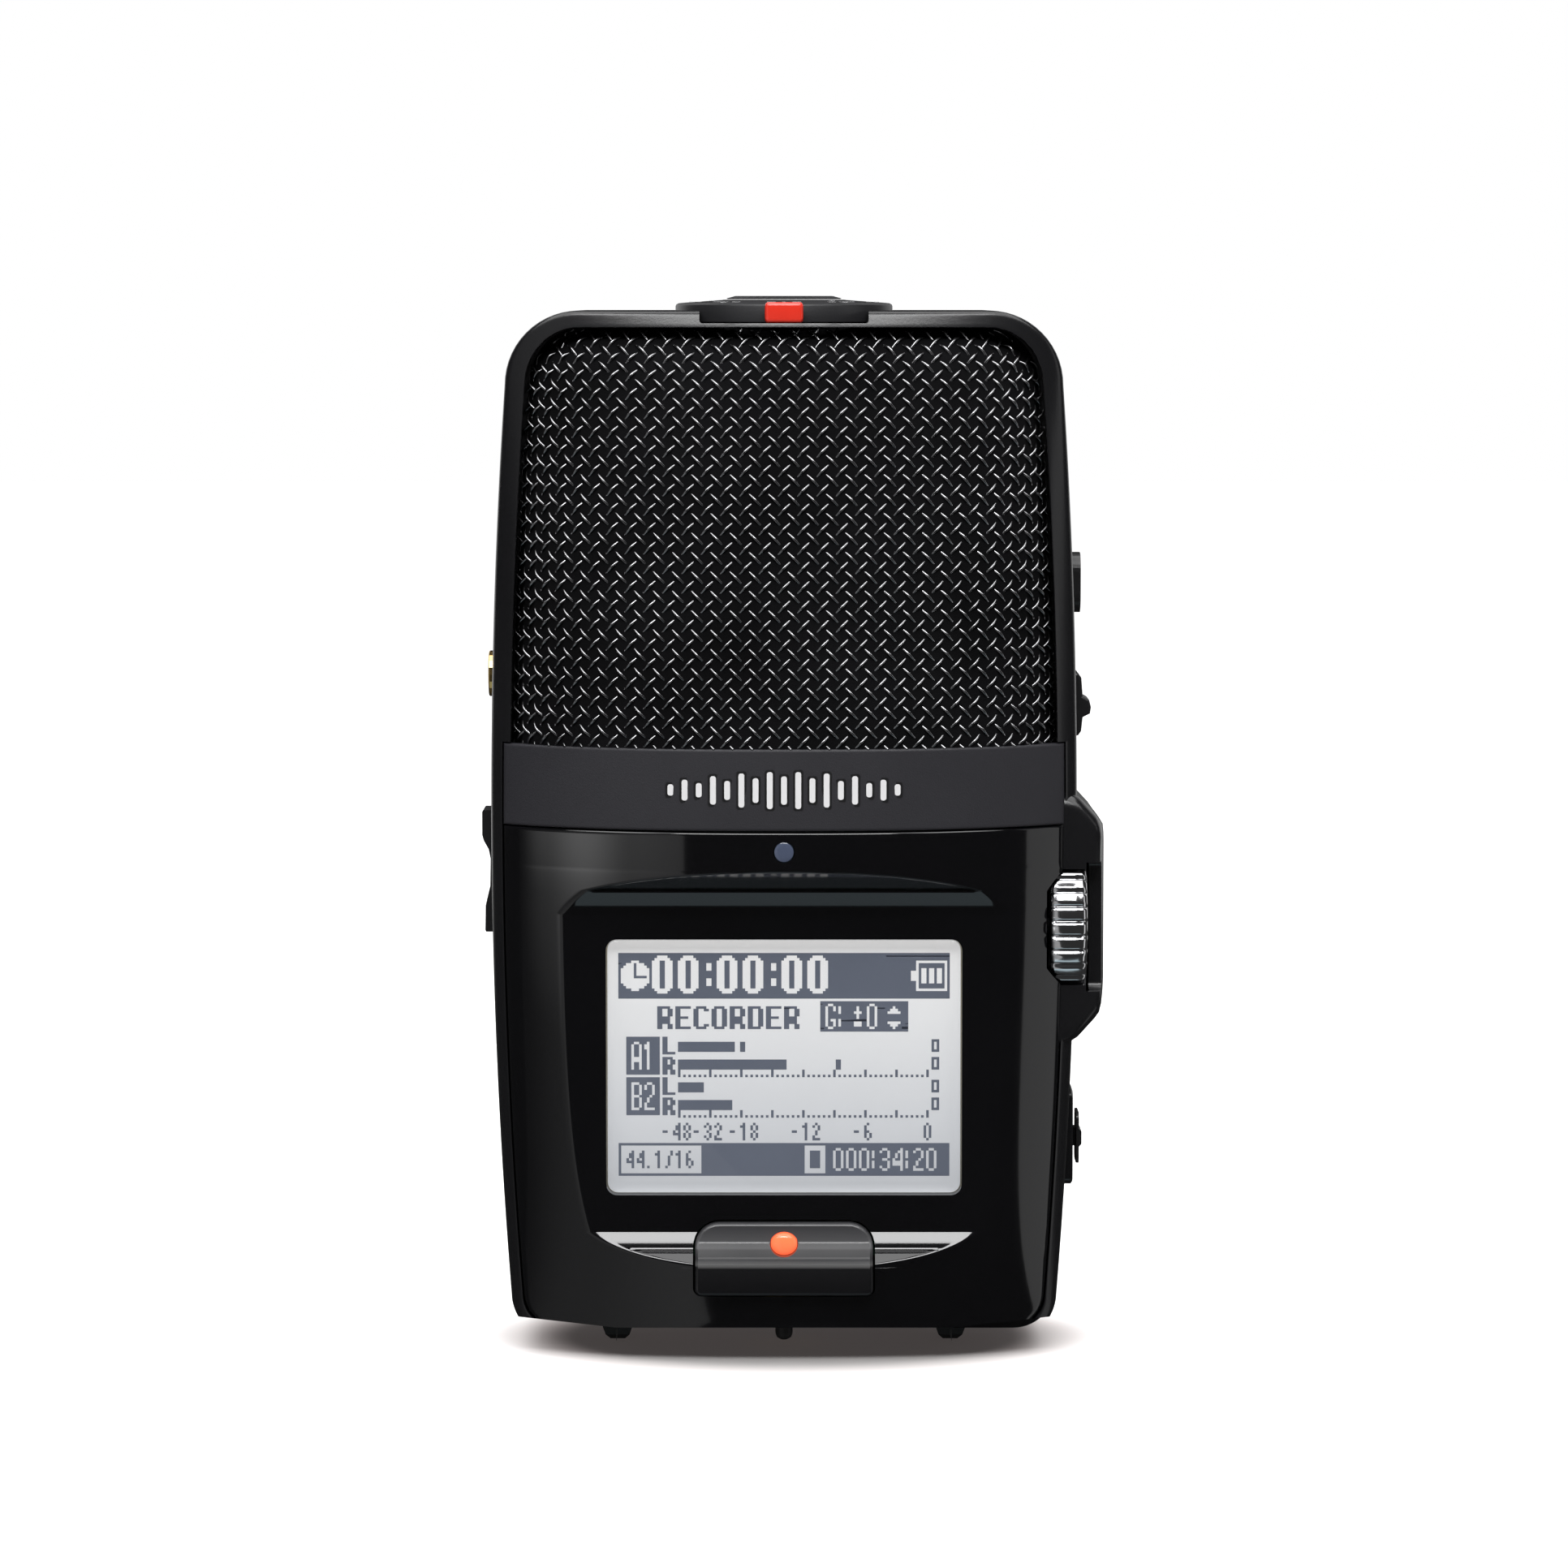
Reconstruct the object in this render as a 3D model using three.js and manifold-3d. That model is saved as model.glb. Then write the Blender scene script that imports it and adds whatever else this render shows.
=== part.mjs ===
// Handheld voice recorder built as an assembly of separate parts.
// Millimetres, +Z up, the display faces -Y and the gain wheel is on the +X side.
import * as THREE from "three";
import { mergeVertices } from "three/addons/utils/BufferGeometryUtils.js";
import Module from "manifold-3d";

const wasm = await Module();
wasm.setup();

// Overall body: a barrel-sided outline with front and rear faces that bow outwards.
const BODY = {
  top: 112.3,
  bottom: 1.9,
  widestZ: 58,
  halfWidth: 31.45,
  barrel: 0.00075,
  topCorner: 8,
  bottomCorner: 4.5,
  sideDepth: 10.5,
  bow: 10.85,
};
const GAP = 0.3;
const WALL = 1.6;
const FRONT = -1;
const REAR = 1;
const COVER_BACK = 9.3;
const LIP = 1.3;
const COVER_TOP = 57.2;
const BAND = { low: 57.5, high: 66.2 };
const RAIL = { side: 2.2, top: 1.8 };
// The guard beside the wheel sticks out further than the volume rocker, so the body sits off-centre.
const CENTRE_SHIFT = -1;

// The underside is flat near the middle and slopes up towards all four edges.
const KEEL = { flatY: 6, slopeY: 0.176, flatX: 18, slopeX: 0.113 };

const DISH_FLOOR = 16.6;
const WINDOW = { width: 37.8, height: 27.3, z: 31.8, corner: 1, thickness: 1.2 };
const RECORD = { halfWidth: 9.5, low: 7.6, high: 15.2, lampZ: 13, back: 14 };
const GUARD = { front: -12.3, back: 9, root: 29.4, outer: 34.8, low: 33, high: 61 };
// Thumb recess in the guard, measured from the wheel axis.
const SCOOP = { depth: 2.8, below: 6.8, above: 7.1 };
const WHEEL = { y: -6, z: 46.4, radius: 8.5, left: 28.4, right: 32.5 };
const DIAL = { radius: 11.75, low: 110.95, ringTop: 113.45, knobTop: 113.85, knobRadius: 6.2, shaft: 1.9 };
const NOTCH_HALF_WIDTH = 9;
const LEVER = { z: 69.7, halfHeight: 3.4, halfWidth: 3 };
const MENU = { z: 82.85, height: 6.5, width: 5.2 };
const SLIDER = { z: 22.2, slotHalfWidth: 1.3, slotHalfHeight: 3.5 };
const PAD = { proud: 1.1, root: 29, reach: 33, low: 17.2, high: 27.7, halfWidth: 3.4 };
const ROCKER = { low: 44.9, high: 58.2, halfWidth: 2.8 };
const JACK = { phonesZ: 72.9, lineZ: 29, bore: 1.8, radius: 2.5 };
const USB = { z: 15.5, height: 7.7, width: 3.9 };
const FLAP = { low: 4.4, high: 16.2, halfWidth: 7 };
const BATTERY = { x: 7.7, y: 7.8, radius: 7, low: 6.9, high: 57.4 };
const DOOR = { halfWidth: 15.6, low: 7.8, high: 55.2, thickness: 1.3 };
// A 1/4 inch tripod thread, as a plain blind hole.
const TRIPOD = { y: -4.9, radius: 4, bore: 3.175, low: 2.5, depth: 5.7, roof: 1.2 };
const FOOT = { x: 18.2, width: 3.2, halfLength: 3.4, height: 2.9 };
const STUB = { y: -10.8, radius: 0.95, low: 1.45, high: 4.9 };
const STATUS = { z: 55.3, radius: 1, back: -17.5 };
const DISH = { halfWidth: 25, low: 8, high: 53.9, mouth: 9.4 };
const BAY = { halfWidth: 16.9, wall: 1, floor: -0.6, low: 4.4, high: 60 };
const SLOTS = { x0: 18.5, x1: 26.5, lowest: 26, pitch: 3, count: 5, halfHeight: 0.6 };
const SCREW = { x: 23, heights: [10, 52], sunk: 1.1, headRadius: 1.8, shankRadius: 0.9, well: 2.1 };
const MIC = { radius: 4, length: 5.5, post: 1.6 };
// Where cutters through a side wall, or through the front or rear, start and end.
const RIGHT_WALL = [25, 36];
const LEFT_WALL = [-36, -25];
const FRONT_WALL = [-30, -10];
const FAR = 30;

// Plain blocks inside the case, as [x0, x1, y0, y1, z0, z1].
const BLOCKS = {
  lcdPanel: [-20, 20, -14.4, -13.1, 17.4, 46.4],
  tray: [-20.6, 20.6, -12.8, -10.3, 16.4, 47.6],
  trayPocket: [-19.2, 19.2, -14, -11.1, 17.8, 46.2],
  board: [-26.4, 26.4, -9.9, -8.7, 10.5, 63.5],
  boardWheelNotch: [16, 30, -11, -8, 37, 56],
  boardCardNotch: [10, 30, -11, -8, 0, 18],
  recordSwitch: [-3, 3, -13.1, -10.2, 9.9, 14.9],
  menuSwitch: [24.6, 27.9, -2.5, 2.5, MENU.z - 2.5, MENU.z + 2.5],
  playCarrier: [25.9, 29, -2.2, 2.2, LEVER.z - 2.4, LEVER.z + 2.4],
  playSwitch: [21.6, 25.2, -3, 3, LEVER.z - 3, LEVER.z + 3],
  powerSwitch: [23.4, 27.5, -2.5, 2.5, SLIDER.z - 4.5, SLIDER.z + 4.5],
  volumeSwitch: [-28, -24.4, -2.4, 2.4, 45.5, 57.6],
  cardShell: [12.2, 27.2, -6.6, -3.6, 4.7, 16.4],
  cardSlot: [13.2, 30, -5.9, -4.3, 5.1, 16],
  memoryCard: [13.4, 27.2, -5.6, -4.6, 5.2, 15.9],
  contactBridge: [-12.5, 12.5, BATTERY.y - 3.5, BATTERY.y + 3.5, 57.7, 58.6],
  speaker: [17.4, 27, 7.6, 10.6, 23, 41],
  micPlate: [-13, 13, -1, 1, 70, 95],
};

// ---------- body shape ----------

function sideAt(z) {
  return BODY.halfWidth - BODY.barrel * (z - BODY.widestZ) ** 2;
}

function bowAt(z) {
  if (z > BODY.widestZ) {
    return BODY.bow * (1 - 0.77 * ((z - BODY.widestZ) / (BODY.top - BODY.widestZ)) ** 2.4);
  }
  return BODY.bow * (1 - 0.45 * ((BODY.widestZ - z) / (BODY.widestZ - BODY.bottom)) ** 5);
}

function depthAt(x, z) {
  const across = Math.min(1, Math.abs(x) / sideAt(z));
  return BODY.sideDepth + bowAt(z) * (1 - across ** 2.4) ** 0.8;
}

function halfWidthAt(z, inset) {
  const side = sideAt(z) - inset.side;
  const topCentre = BODY.top - BODY.topCorner;
  const bottomCentre = BODY.bottom + BODY.bottomCorner;
  if (z > topCentre) {
    const rise = Math.min(1, (z - topCentre) / (BODY.topCorner - inset.top));
    return side - (BODY.topCorner - inset.side) * (1 - Math.sqrt(1 - rise ** 2));
  }
  if (z < bottomCentre) {
    const drop = Math.min(1, (bottomCentre - z) / Math.max(0.1, BODY.bottomCorner - inset.bottom));
    return side - Math.max(0, BODY.bottomCorner - inset.side) * (1 - Math.sqrt(1 - drop ** 2));
  }
  return side;
}

function insetBy(side, top = side, bottom = side) {
  return { side, top, bottom };
}

/** Heights of the rows of a bowed solid: even steps, and extra ones round each corner. */
function levels(low, high, inset, step = 9) {
  const closest = 0.25;
  const count = Math.max(1, Math.round((high - low) / step));
  const heights = Array.from({ length: count }, (_, i) => low + ((high - low) * i) / count);
  for (const turn of [0.5, 0.95, 1.3]) {
    heights.push(BODY.top - BODY.topCorner + (BODY.topCorner - inset.top) * Math.sin(turn));
    heights.push(BODY.bottom + BODY.bottomCorner - (BODY.bottomCorner - inset.bottom) * Math.sin(turn));
  }
  const inside = heights.filter((z) => z > low + closest && z < high - closest).sort((p, q) => p - q);
  return [low, ...inside.filter((z, i) => i === 0 || z - inside[i - 1] > closest), high];
}

// ---------- solids ----------

function solid(geometry) {
  geometry.deleteAttribute("normal");
  geometry.deleteAttribute("uv");
  const merged = mergeVertices(geometry, 1e-5);
  return new wasm.Manifold(
    new wasm.Mesh({
      numProp: 3,
      vertProperties: new Float32Array(merged.attributes.position.array),
      triVerts: new Uint32Array(merged.index.array),
    }),
  );
}

function union(pieces) {
  return pieces.reduce((whole, piece) => whole.add(piece));
}

/** Closed solid between y = near(x, z) and y = far(x, z) over rows of heights. */
function bowed(rows, halfWidth, near, far, columns = 14) {
  const positions = [];
  for (const surface of [near, far]) {
    for (const z of rows) {
      for (let j = 0; j <= columns; j += 1) {
        const x = halfWidth(z) * Math.sin(((j / columns) * 2 - 1) * (Math.PI / 2));
        positions.push(x, surface(x, z), z);
      }
    }
  }
  const across = columns + 1;
  const a = (i, j) => i * across + j;
  const b = (i, j) => (rows.length + i) * across + j;
  const index = [];
  const quad = (p, q, r, s) => index.push(p, q, r, p, r, s);
  const lastRow = rows.length - 1;
  for (let i = 0; i < lastRow; i += 1) {
    for (let j = 0; j < columns; j += 1) {
      quad(a(i, j), a(i, j + 1), a(i + 1, j + 1), a(i + 1, j));
      quad(b(i, j), b(i + 1, j), b(i + 1, j + 1), b(i, j + 1));
    }
    quad(a(i, 0), a(i + 1, 0), b(i + 1, 0), b(i, 0));
    quad(a(i, columns), b(i, columns), b(i + 1, columns), a(i + 1, columns));
  }
  for (let j = 0; j < columns; j += 1) {
    quad(a(0, j), b(0, j), b(0, j + 1), a(0, j + 1));
    quad(a(lastRow, j), a(lastRow, j + 1), b(lastRow, j + 1), b(lastRow, j));
  }
  const geometry = new THREE.BufferGeometry();
  geometry.setAttribute("position", new THREE.Float32BufferAttribute(positions, 3));
  geometry.setIndex(index);
  return solid(geometry);
}

/** Bowed solid on the front or rear half, from the plane |y| = flat out to the body surface less sunk. */
function bulge(side, low, high, inset, sunk, flat, columns = 14) {
  const rows = levels(low, high, inset);
  const width = (z) => halfWidthAt(z, inset);
  const skin = (x, z) => side * (depthAt(x, z) - sunk);
  const plane = () => side * flat;
  return side === FRONT ? bowed(rows, width, skin, plane, columns) : bowed(rows, width, plane, skin, columns);
}

/** Curved sheet that follows the body surface. */
function sheet(side, rows, width, sunk, thickness, columns) {
  const outer = (x, z) => side * (depthAt(x, z) - sunk);
  const inner = (x, z) => side * (depthAt(x, z) - sunk - thickness);
  return side === FRONT ? bowed(rows, width, outer, inner, columns) : bowed(rows, width, inner, outer, columns);
}

function box(x0, x1, y0, y1, z0, z1) {
  const geometry = new THREE.BoxGeometry(x1 - x0, y1 - y0, z1 - z0);
  geometry.translate((x0 + x1) / 2, (y0 + y1) / 2, (z0 + z1) / 2);
  return solid(geometry);
}

function shapeOf(points) {
  return new THREE.Shape(points.map(([u, v]) => new THREE.Vector2(u, v)));
}

function roundedRect(width, height, corner) {
  const x = width / 2;
  const y = height / 2;
  const shape = new THREE.Shape();
  shape.moveTo(-x + corner, -y);
  shape.lineTo(x - corner, -y);
  shape.absarc(x - corner, -y + corner, corner, -Math.PI / 2, 0);
  shape.absarc(x - corner, y - corner, corner, 0, Math.PI / 2);
  shape.absarc(-x + corner, y - corner, corner, Math.PI / 2, Math.PI);
  shape.absarc(-x + corner, -y + corner, corner, Math.PI, Math.PI * 1.5);
  return shape;
}

function extrude(shape, length, segments = 4) {
  return new THREE.ExtrudeGeometry(shape, { depth: length, bevelEnabled: false, curveSegments: segments });
}

/** Shape drawn in (x, z), extruded from y0 to y1. */
function alongY(shape, y0, y1, x = 0, z = 0, segments = 4) {
  const geometry = extrude(shape, y1 - y0, segments);
  geometry.rotateX(Math.PI / 2);
  geometry.translate(x, y1, z);
  return solid(geometry);
}

/** Shape drawn in (y, z), extruded from x0 to x1. */
function alongX(shape, x0, x1, y = 0, z = 0, segments = 4) {
  const geometry = extrude(shape, x1 - x0, segments);
  const turn = new THREE.Matrix4().set(0, 0, 1, x0, 1, 0, 0, y, 0, 1, 0, z, 0, 0, 0, 1);
  geometry.applyMatrix4(turn);
  return solid(geometry);
}

function alongZ(shape, z0, z1, x = 0, y = 0, segments = 4) {
  const geometry = extrude(shape, z1 - z0, segments);
  geometry.translate(x, y, z0);
  return solid(geometry);
}

function rod(start, end, radius, segments = 20) {
  const from = new THREE.Vector3(...start);
  const to = new THREE.Vector3(...end);
  const run = to.clone().sub(from);
  const geometry = new THREE.CylinderGeometry(radius, radius, run.length(), segments);
  const turn = new THREE.Quaternion().setFromUnitVectors(new THREE.Vector3(0, 1, 0), run.normalize());
  geometry.applyQuaternion(turn);
  geometry.translate(...from.add(to).multiplyScalar(0.5).toArray());
  return solid(geometry);
}

/** Turned solid about the vertical axis through (x, y). */
function turned(profile, segments = 32, x = 0, y = 0) {
  const points = profile.map(([r, z]) => new THREE.Vector2(r, z));
  const geometry = new THREE.LatheGeometry(points, segments);
  geometry.rotateX(Math.PI / 2);
  geometry.translate(x, y, 0);
  return solid(geometry);
}

// ---------- materials and naming ----------

const FINISH = {
  gloss_black: [0x0b0b0d, 0.15, 0],
  frame_black: [0x1b1b1e, 0.45, 0],
  band_grey: [0x2d2c32, 0.7, 0],
  grille_wire: [0x1a1a1c, 0.4, 0.8],
  foam: [0x141416, 1, 0],
  clear_window: [0xd8dce0, 0.1, 0],
  display: [0xc8ccd0, 0.5, 0],
  smoke_button: [0x3a3a40, 0.25, 0],
  red_lamp: [0xff4a30, 0.3, 0],
  index_red: [0xe84a3c, 0.3, 0],
  dial_black: [0x202024, 0.5, 0],
  chrome: [0xd8d8dc, 0.15, 1],
  key_black: [0x161618, 0.4, 0],
  gold: [0xd8a848, 0.3, 1],
  steel: [0xa8acb0, 0.35, 1],
  brass: [0xb89848, 0.4, 1],
  rubber: [0x101010, 0.9, 0],
  board: [0x1c4a30, 0.6, 0],
  cell_wrap: [0x30343c, 0.4, 0],
  ivory: [0xd8d4c8, 0.6, 0],
  lamp_blue: [0x56708a, 0.2, 0],
};

const recorder = new THREE.Group();
recorder.name = "voice_recorder";

function add(name, finish, shape) {
  const mesh = shape.getMesh();
  const geometry = new THREE.BufferGeometry();
  const positions = new THREE.Float32BufferAttribute(Float32Array.from(mesh.vertProperties), 3);
  geometry.setAttribute("position", positions);
  geometry.setIndex(Array.from(mesh.triVerts));
  geometry.translate(CENTRE_SHIFT, 0, 0);
  geometry.computeVertexNormals();
  const [color, roughness, metalness] = FINISH[finish];
  const piece = new THREE.Mesh(geometry, new THREE.MeshStandardMaterial({ color, roughness, metalness }));
  piece.name = name;
  piece.material.name = finish;
  recorder.add(piece);
}

// ---------- shared cutters ----------

function wheelRoom() {
  const room = WHEEL.radius + 0.4;
  return rod([WHEEL.left - GAP, WHEEL.y, WHEEL.z], [WHEEL.right + GAP, WHEEL.y, WHEEL.z], room, 28);
}

function stubHole() {
  return rod([0, STUB.y, 0], [0, STUB.y, 6], STUB.radius + GAP, 12);
}

function sideWindow(x0, x1, width, height, corner, y, z, gapY = GAP, gapZ = GAP) {
  return alongX(roundedRect(width + 2 * gapY, height + 2 * gapZ, corner + gapY), x0, x1, y, z);
}

// ---------- case ----------

/** Filled outline of the body, inset on each side, between two depths. */
function plug(inset, low, high, y0, y1) {
  const rows = levels(low, high, inset, 12);
  return bowed(rows, (z) => halfWidthAt(z, inset), () => y0, () => y1, 1);
}

/** Bump that shields the wheel: it is set back in front beside the wheel, so a thumb can reach it. */
function wheelGuard() {
  const { front, back, root, outer, low, high } = GUARD;
  const outline = shapeOf([
    [root, low], [root + 2, low + 1.2], [outer - 0.4, low + 4.4], [outer, low + 5.6], [outer, high - 5],
    [outer - 0.3, high - 3.8], [root + 2.3, high - 0.7], [root, high],
  ]);
  const plan = shapeOf([
    [root, back], [root, front], [outer - 1.4, front], [outer - 0.8, front + 0.7], [outer, -1], [outer, back - 4],
    [outer - 1.8, back],
  ]);
  const scoop = box(
    WHEEL.right, outer + 1, front - 1, front + SCOOP.depth, WHEEL.z - SCOOP.below, WHEEL.z + SCOOP.above,
  );
  return alongY(outline, front, back).intersect(alongZ(plan, low - 3, high + 1)).subtract(scoop);
}

function undersideAt(x, y) {
  const { flatY, slopeY, flatX, slopeX } = KEEL;
  return BODY.bottom + slopeY * Math.max(0, Math.abs(y) - flatY) + slopeX * Math.max(0, Math.abs(x) - flatX);
}

/** Space below the hull-shaped underside, as one block for each of its sloping facets. */
function keelCut() {
  const { flatY, flatX } = KEEL;
  const far = 40;
  const below = BODY.bottom - 3;
  const spans = (flat) => [[-far, -flat], [-flat, flat], [flat, far]];
  const blocks = [];
  for (const xs of spans(flatX)) {
    for (const ys of spans(flatY)) {
      const corners = xs.flatMap((x) => ys.flatMap((y) => [[x, y, below], [x, y, undersideAt(x, y)]]));
      blocks.push(wasm.Manifold.hull(corners));
    }
  }
  return union(blocks);
}

function sliderPad() {
  const { proud, root, reach, low, high, halfWidth } = PAD;
  const pad = plug(insetBy(-proud), low, high, -halfWidth, halfWidth);
  return pad.intersect(box(root, reach, -halfWidth - 1, halfWidth + 1, low - 1, high + 1));
}

function midFrame() {
  const whole = bowed(
    levels(BODY.bottom, BODY.top, insetBy(0)),
    (z) => halfWidthAt(z, insetBy(0)),
    (x, z) => -depthAt(x, z),
    (x, z) => depthAt(x, z),
    16,
  );
  const railInset = insetBy(RAIL.side, RAIL.top, RAIL.side);
  const lowInset = insetBy(LIP, LIP, LIP);
  const hollow = plug(insetBy(2.6, RAIL.top, 2.2), BODY.bottom + 2.2, BODY.top - RAIL.top, -FAR, FAR);
  const step = BAND.high + 0.15;
  const seats = [FRONT, REAR].flatMap((side) => {
    const [y0, y1] = side === FRONT ? [-FAR, -COVER_BACK + GAP] : [COVER_BACK - GAP, FAR];
    return [
      plug(lowInset, BODY.bottom + LIP, step, y0, y1),
      plug(railInset, step - 0.1, BODY.top - RAIL.top, y0, y1),
    ];
  });
  const frame = whole.add(wheelGuard()).add(sliderPad()).subtract(union([hollow, ...seats]));
  const wellFloor = 105;
  const above = BODY.top + 2.7;
  const cuts = [
    wheelRoom(),
    turned([[0, wellFloor], [DIAL.radius + GAP, wellFloor], [DIAL.radius + GAP, above], [0, above]], 28),
    box(-NOTCH_HALF_WIDTH, NOTCH_HALF_WIDTH, -20, -5, DIAL.low - 0.05, above),
    sideWindow(...RIGHT_WALL, MENU.width, MENU.height, 2, 0, MENU.z),
    sideWindow(...RIGHT_WALL, 2 * LEVER.halfWidth, 2 * LEVER.halfHeight, 1, 0, LEVER.z, GAP, 0.7),
    box(
      ...RIGHT_WALL, -SLIDER.slotHalfWidth, SLIDER.slotHalfWidth,
      SLIDER.z - SLIDER.slotHalfHeight, SLIDER.z + SLIDER.slotHalfHeight,
    ),
    box(...RIGHT_WALL, -FLAP.halfWidth - GAP, FLAP.halfWidth + GAP, FLAP.low - GAP, FLAP.high + GAP),
    sideWindow(
      ...LEFT_WALL, 2 * ROCKER.halfWidth, ROCKER.high - ROCKER.low, 0.2, 0,
      (ROCKER.low + ROCKER.high) / 2, GAP, 0.5,
    ),
    ...[JACK.phonesZ, JACK.lineZ].map(
      (z) => rod([LEFT_WALL[0], 0, z], [LEFT_WALL[1], 0, z], JACK.radius + GAP),
    ),
    sideWindow(...LEFT_WALL, USB.width, USB.height, 0.6, 0, USB.z),
    rod([0, TRIPOD.y, 0], [0, TRIPOD.y, 10], TRIPOD.radius + GAP, 24),
    stubHole(),
    keelCut(),
    ...[-FOOT.x, FOOT.x].map((x) =>
      box(
        x - FOOT.width / 2 - GAP, x + FOOT.width / 2 + GAP, -FOOT.halfLength - GAP, FOOT.halfLength + GAP,
        0, 3.2,
      ),
    ),
  ];
  return frame.subtract(union(cuts));
}

/** Section of the display recess: flat floor, stepped upper wall and a lower wall that curves outwards. */
function dishRoom() {
  const { halfWidth, low, high, mouth } = DISH;
  const floor = -DISH_FLOOR;
  const section = shapeOf([
    [floor, low + 6.1], [floor, high - 5.6], [floor - 1.3, high - 3], [floor - 5.9, high], [floor - mouth, high],
    [floor - mouth, low], [floor - 7.9, low], [floor - 4, low + 1.8], [floor - 2.2, low + 2.9],
    [floor - 0.55, low + 4.5],
  ]);
  return alongX(section, -halfWidth, halfWidth);
}

function recordShape(extra) {
  const { halfWidth, low, high } = RECORD;
  const x = halfWidth + extra;
  const shape = new THREE.Shape();
  const upper = 2.6;
  const lower = 0.7;
  shape.moveTo(-x + lower, low - extra);
  shape.lineTo(x - lower, low - extra);
  shape.lineTo(x, low - extra + lower);
  shape.lineTo(x, high + extra - upper);
  shape.absarc(x - upper, high + extra - upper, upper, 0, Math.PI / 2);
  shape.absarc(-x + upper, high + extra - upper, upper, Math.PI / 2, Math.PI);
  shape.lineTo(-x, low - extra + lower);
  return shape;
}

function coverShell(side, inner) {
  const inset = insetBy(LIP + GAP);
  const outer = bulge(side, BODY.bottom + LIP + GAP, COVER_TOP, inset, 0, COVER_BACK, 18);
  const cavity = bulge(
    side, BODY.bottom + LIP + GAP + WALL, COVER_TOP + 1, insetBy(LIP + GAP + WALL), WALL, inner,
  );
  return { outer, shell: outer.subtract(cavity) };
}

function frontCover() {
  const { outer, shell } = coverShell(FRONT, COVER_BACK - 1);
  const side = DISH.halfWidth + 0.5;
  const dishWall = box(-side, side, -FAR, -DISH_FLOOR + WALL, DISH.low - 1, DISH.high + 1.6).intersect(outer);
  const view = alongY(
    roundedRect(WINDOW.width + 2 * GAP, WINDOW.height + 2 * GAP, WINDOW.corner + GAP), ...FRONT_WALL, 0, WINDOW.z, 3,
  );
  const lampHole = rod([0, FRONT_WALL[0], STATUS.z], [0, FRONT_WALL[1], STATUS.z], STATUS.radius + GAP, 14);
  const button = alongY(recordShape(GAP), ...FRONT_WALL);
  const cuts = [dishRoom(), view, lampHole, stubHole(), button, wheelRoom(), keelCut()];
  return shell.add(dishWall).subtract(union(cuts));
}

function screwPlaces() {
  return SCREW.heights.flatMap((z) => [-SCREW.x, SCREW.x].map((x) => [x, z]));
}

function batteryBay(outer) {
  const { halfWidth, floor, low, high } = BAY;
  const front = box(-halfWidth, halfWidth, floor, 12, low, COVER_TOP);
  const sides = box(-halfWidth, halfWidth, 11, FAR, low, COVER_TOP).intersect(outer);
  const top = box(-halfWidth, halfWidth, floor, 17, COVER_TOP - 1, high);
  return union([front, sides, top]);
}

function rearCover() {
  const { outer, shell } = coverShell(REAR, COVER_BACK - 1);
  const side = BAY.halfWidth - BAY.wall;
  const bayRoom = box(-side, side, BAY.floor + BAY.wall, 14.9, BAY.low + 0.8, BAY.high - BAY.wall);
  const doorway = box(-DOOR.halfWidth - GAP, DOOR.halfWidth + GAP, 3, FAR, DOOR.low - GAP, DOOR.high + GAP);
  const { x0, x1, lowest, pitch, count, halfHeight } = SLOTS;
  const slotHeights = Array.from({ length: count }, (_, i) => lowest + pitch * i);
  const speakerSlots = slotHeights.map((z) => box(x0, x1, 5, FAR, z - halfHeight, z + halfHeight));
  const screwHoles = screwPlaces().map(([x, z]) => rod([x, 5, z], [x, FAR, z], SCREW.well, 12));
  return shell.add(batteryBay(outer)).subtract(
    union([bayRoom, doorway, keelCut(), ...speakerSlots, ...screwHoles]),
  );
}

function band(side) {
  const outer = bulge(side, BAND.low, BAND.high, insetBy(LIP + GAP), 0, COVER_BACK, 18);
  const inner = bulge(
    side, BAND.low - 1, BAND.high + 1, insetBy(LIP + GAP + WALL), WALL + 0.2, COVER_BACK - 1,
  );
  return outer.subtract(inner);
}

function grille(side) {
  const low = BAND.high + GAP;
  const edge = insetBy(RAIL.side + GAP, RAIL.top + GAP);
  const inside = insetBy(RAIL.side + GAP + 0.6, RAIL.top + GAP + 0.6);
  const outer = bulge(side, low, BODY.top - RAIL.top - GAP, edge, 0.3, COVER_BACK, 12);
  const inner = bulge(side, low - 1, BODY.top - RAIL.top - GAP - 0.6, inside, 0.9, COVER_BACK - 1, 12);
  return outer.subtract(inner);
}

function foam(side) {
  const inset = insetBy(3.6, 3.2);
  const rows = levels(BAND.high + 0.8, BODY.top - 3.4, inset, 8);
  return sheet(side, rows, (z) => halfWidthAt(z, inset), 1.3, 1.5, 10);
}

// ---------- controls ----------

/** The button crosses the lower edge of the recess: its face slopes out to a ridge and then follows the cover. */
function recordButton() {
  const block = alongY(recordShape(0), -FAR, -RECORD.back);
  const face = shapeOf([
    [-RECORD.back, 6], [-19, 6], [-19.4, RECORD.low], [-19.8, 10.9], [-19, 11.6], [-17.8, 13.2], [-17.4, 16],
    [-RECORD.back, 16],
  ]);
  const lampHole = rod([0, FRONT_WALL[0], RECORD.lampZ], [0, FRONT_WALL[1], RECORD.lampZ], 1.6, 20);
  return block.intersect(alongX(face, -12, 12)).subtract(lampHole);
}

function recordLamp() {
  const front = -18.35;
  const profile = [[0, 0], [1.3, 0], [1.3, 3.6], [1.1, 3.85], [0.6, 4.05], [0, 4.1]];
  const points = profile.map(([r, y]) => new THREE.Vector2(r, y));
  const geometry = new THREE.LatheGeometry(points, 18);
  geometry.rotateX(Math.PI);
  geometry.translate(0, front + 4.1, RECORD.lampZ);
  return solid(geometry);
}

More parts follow.
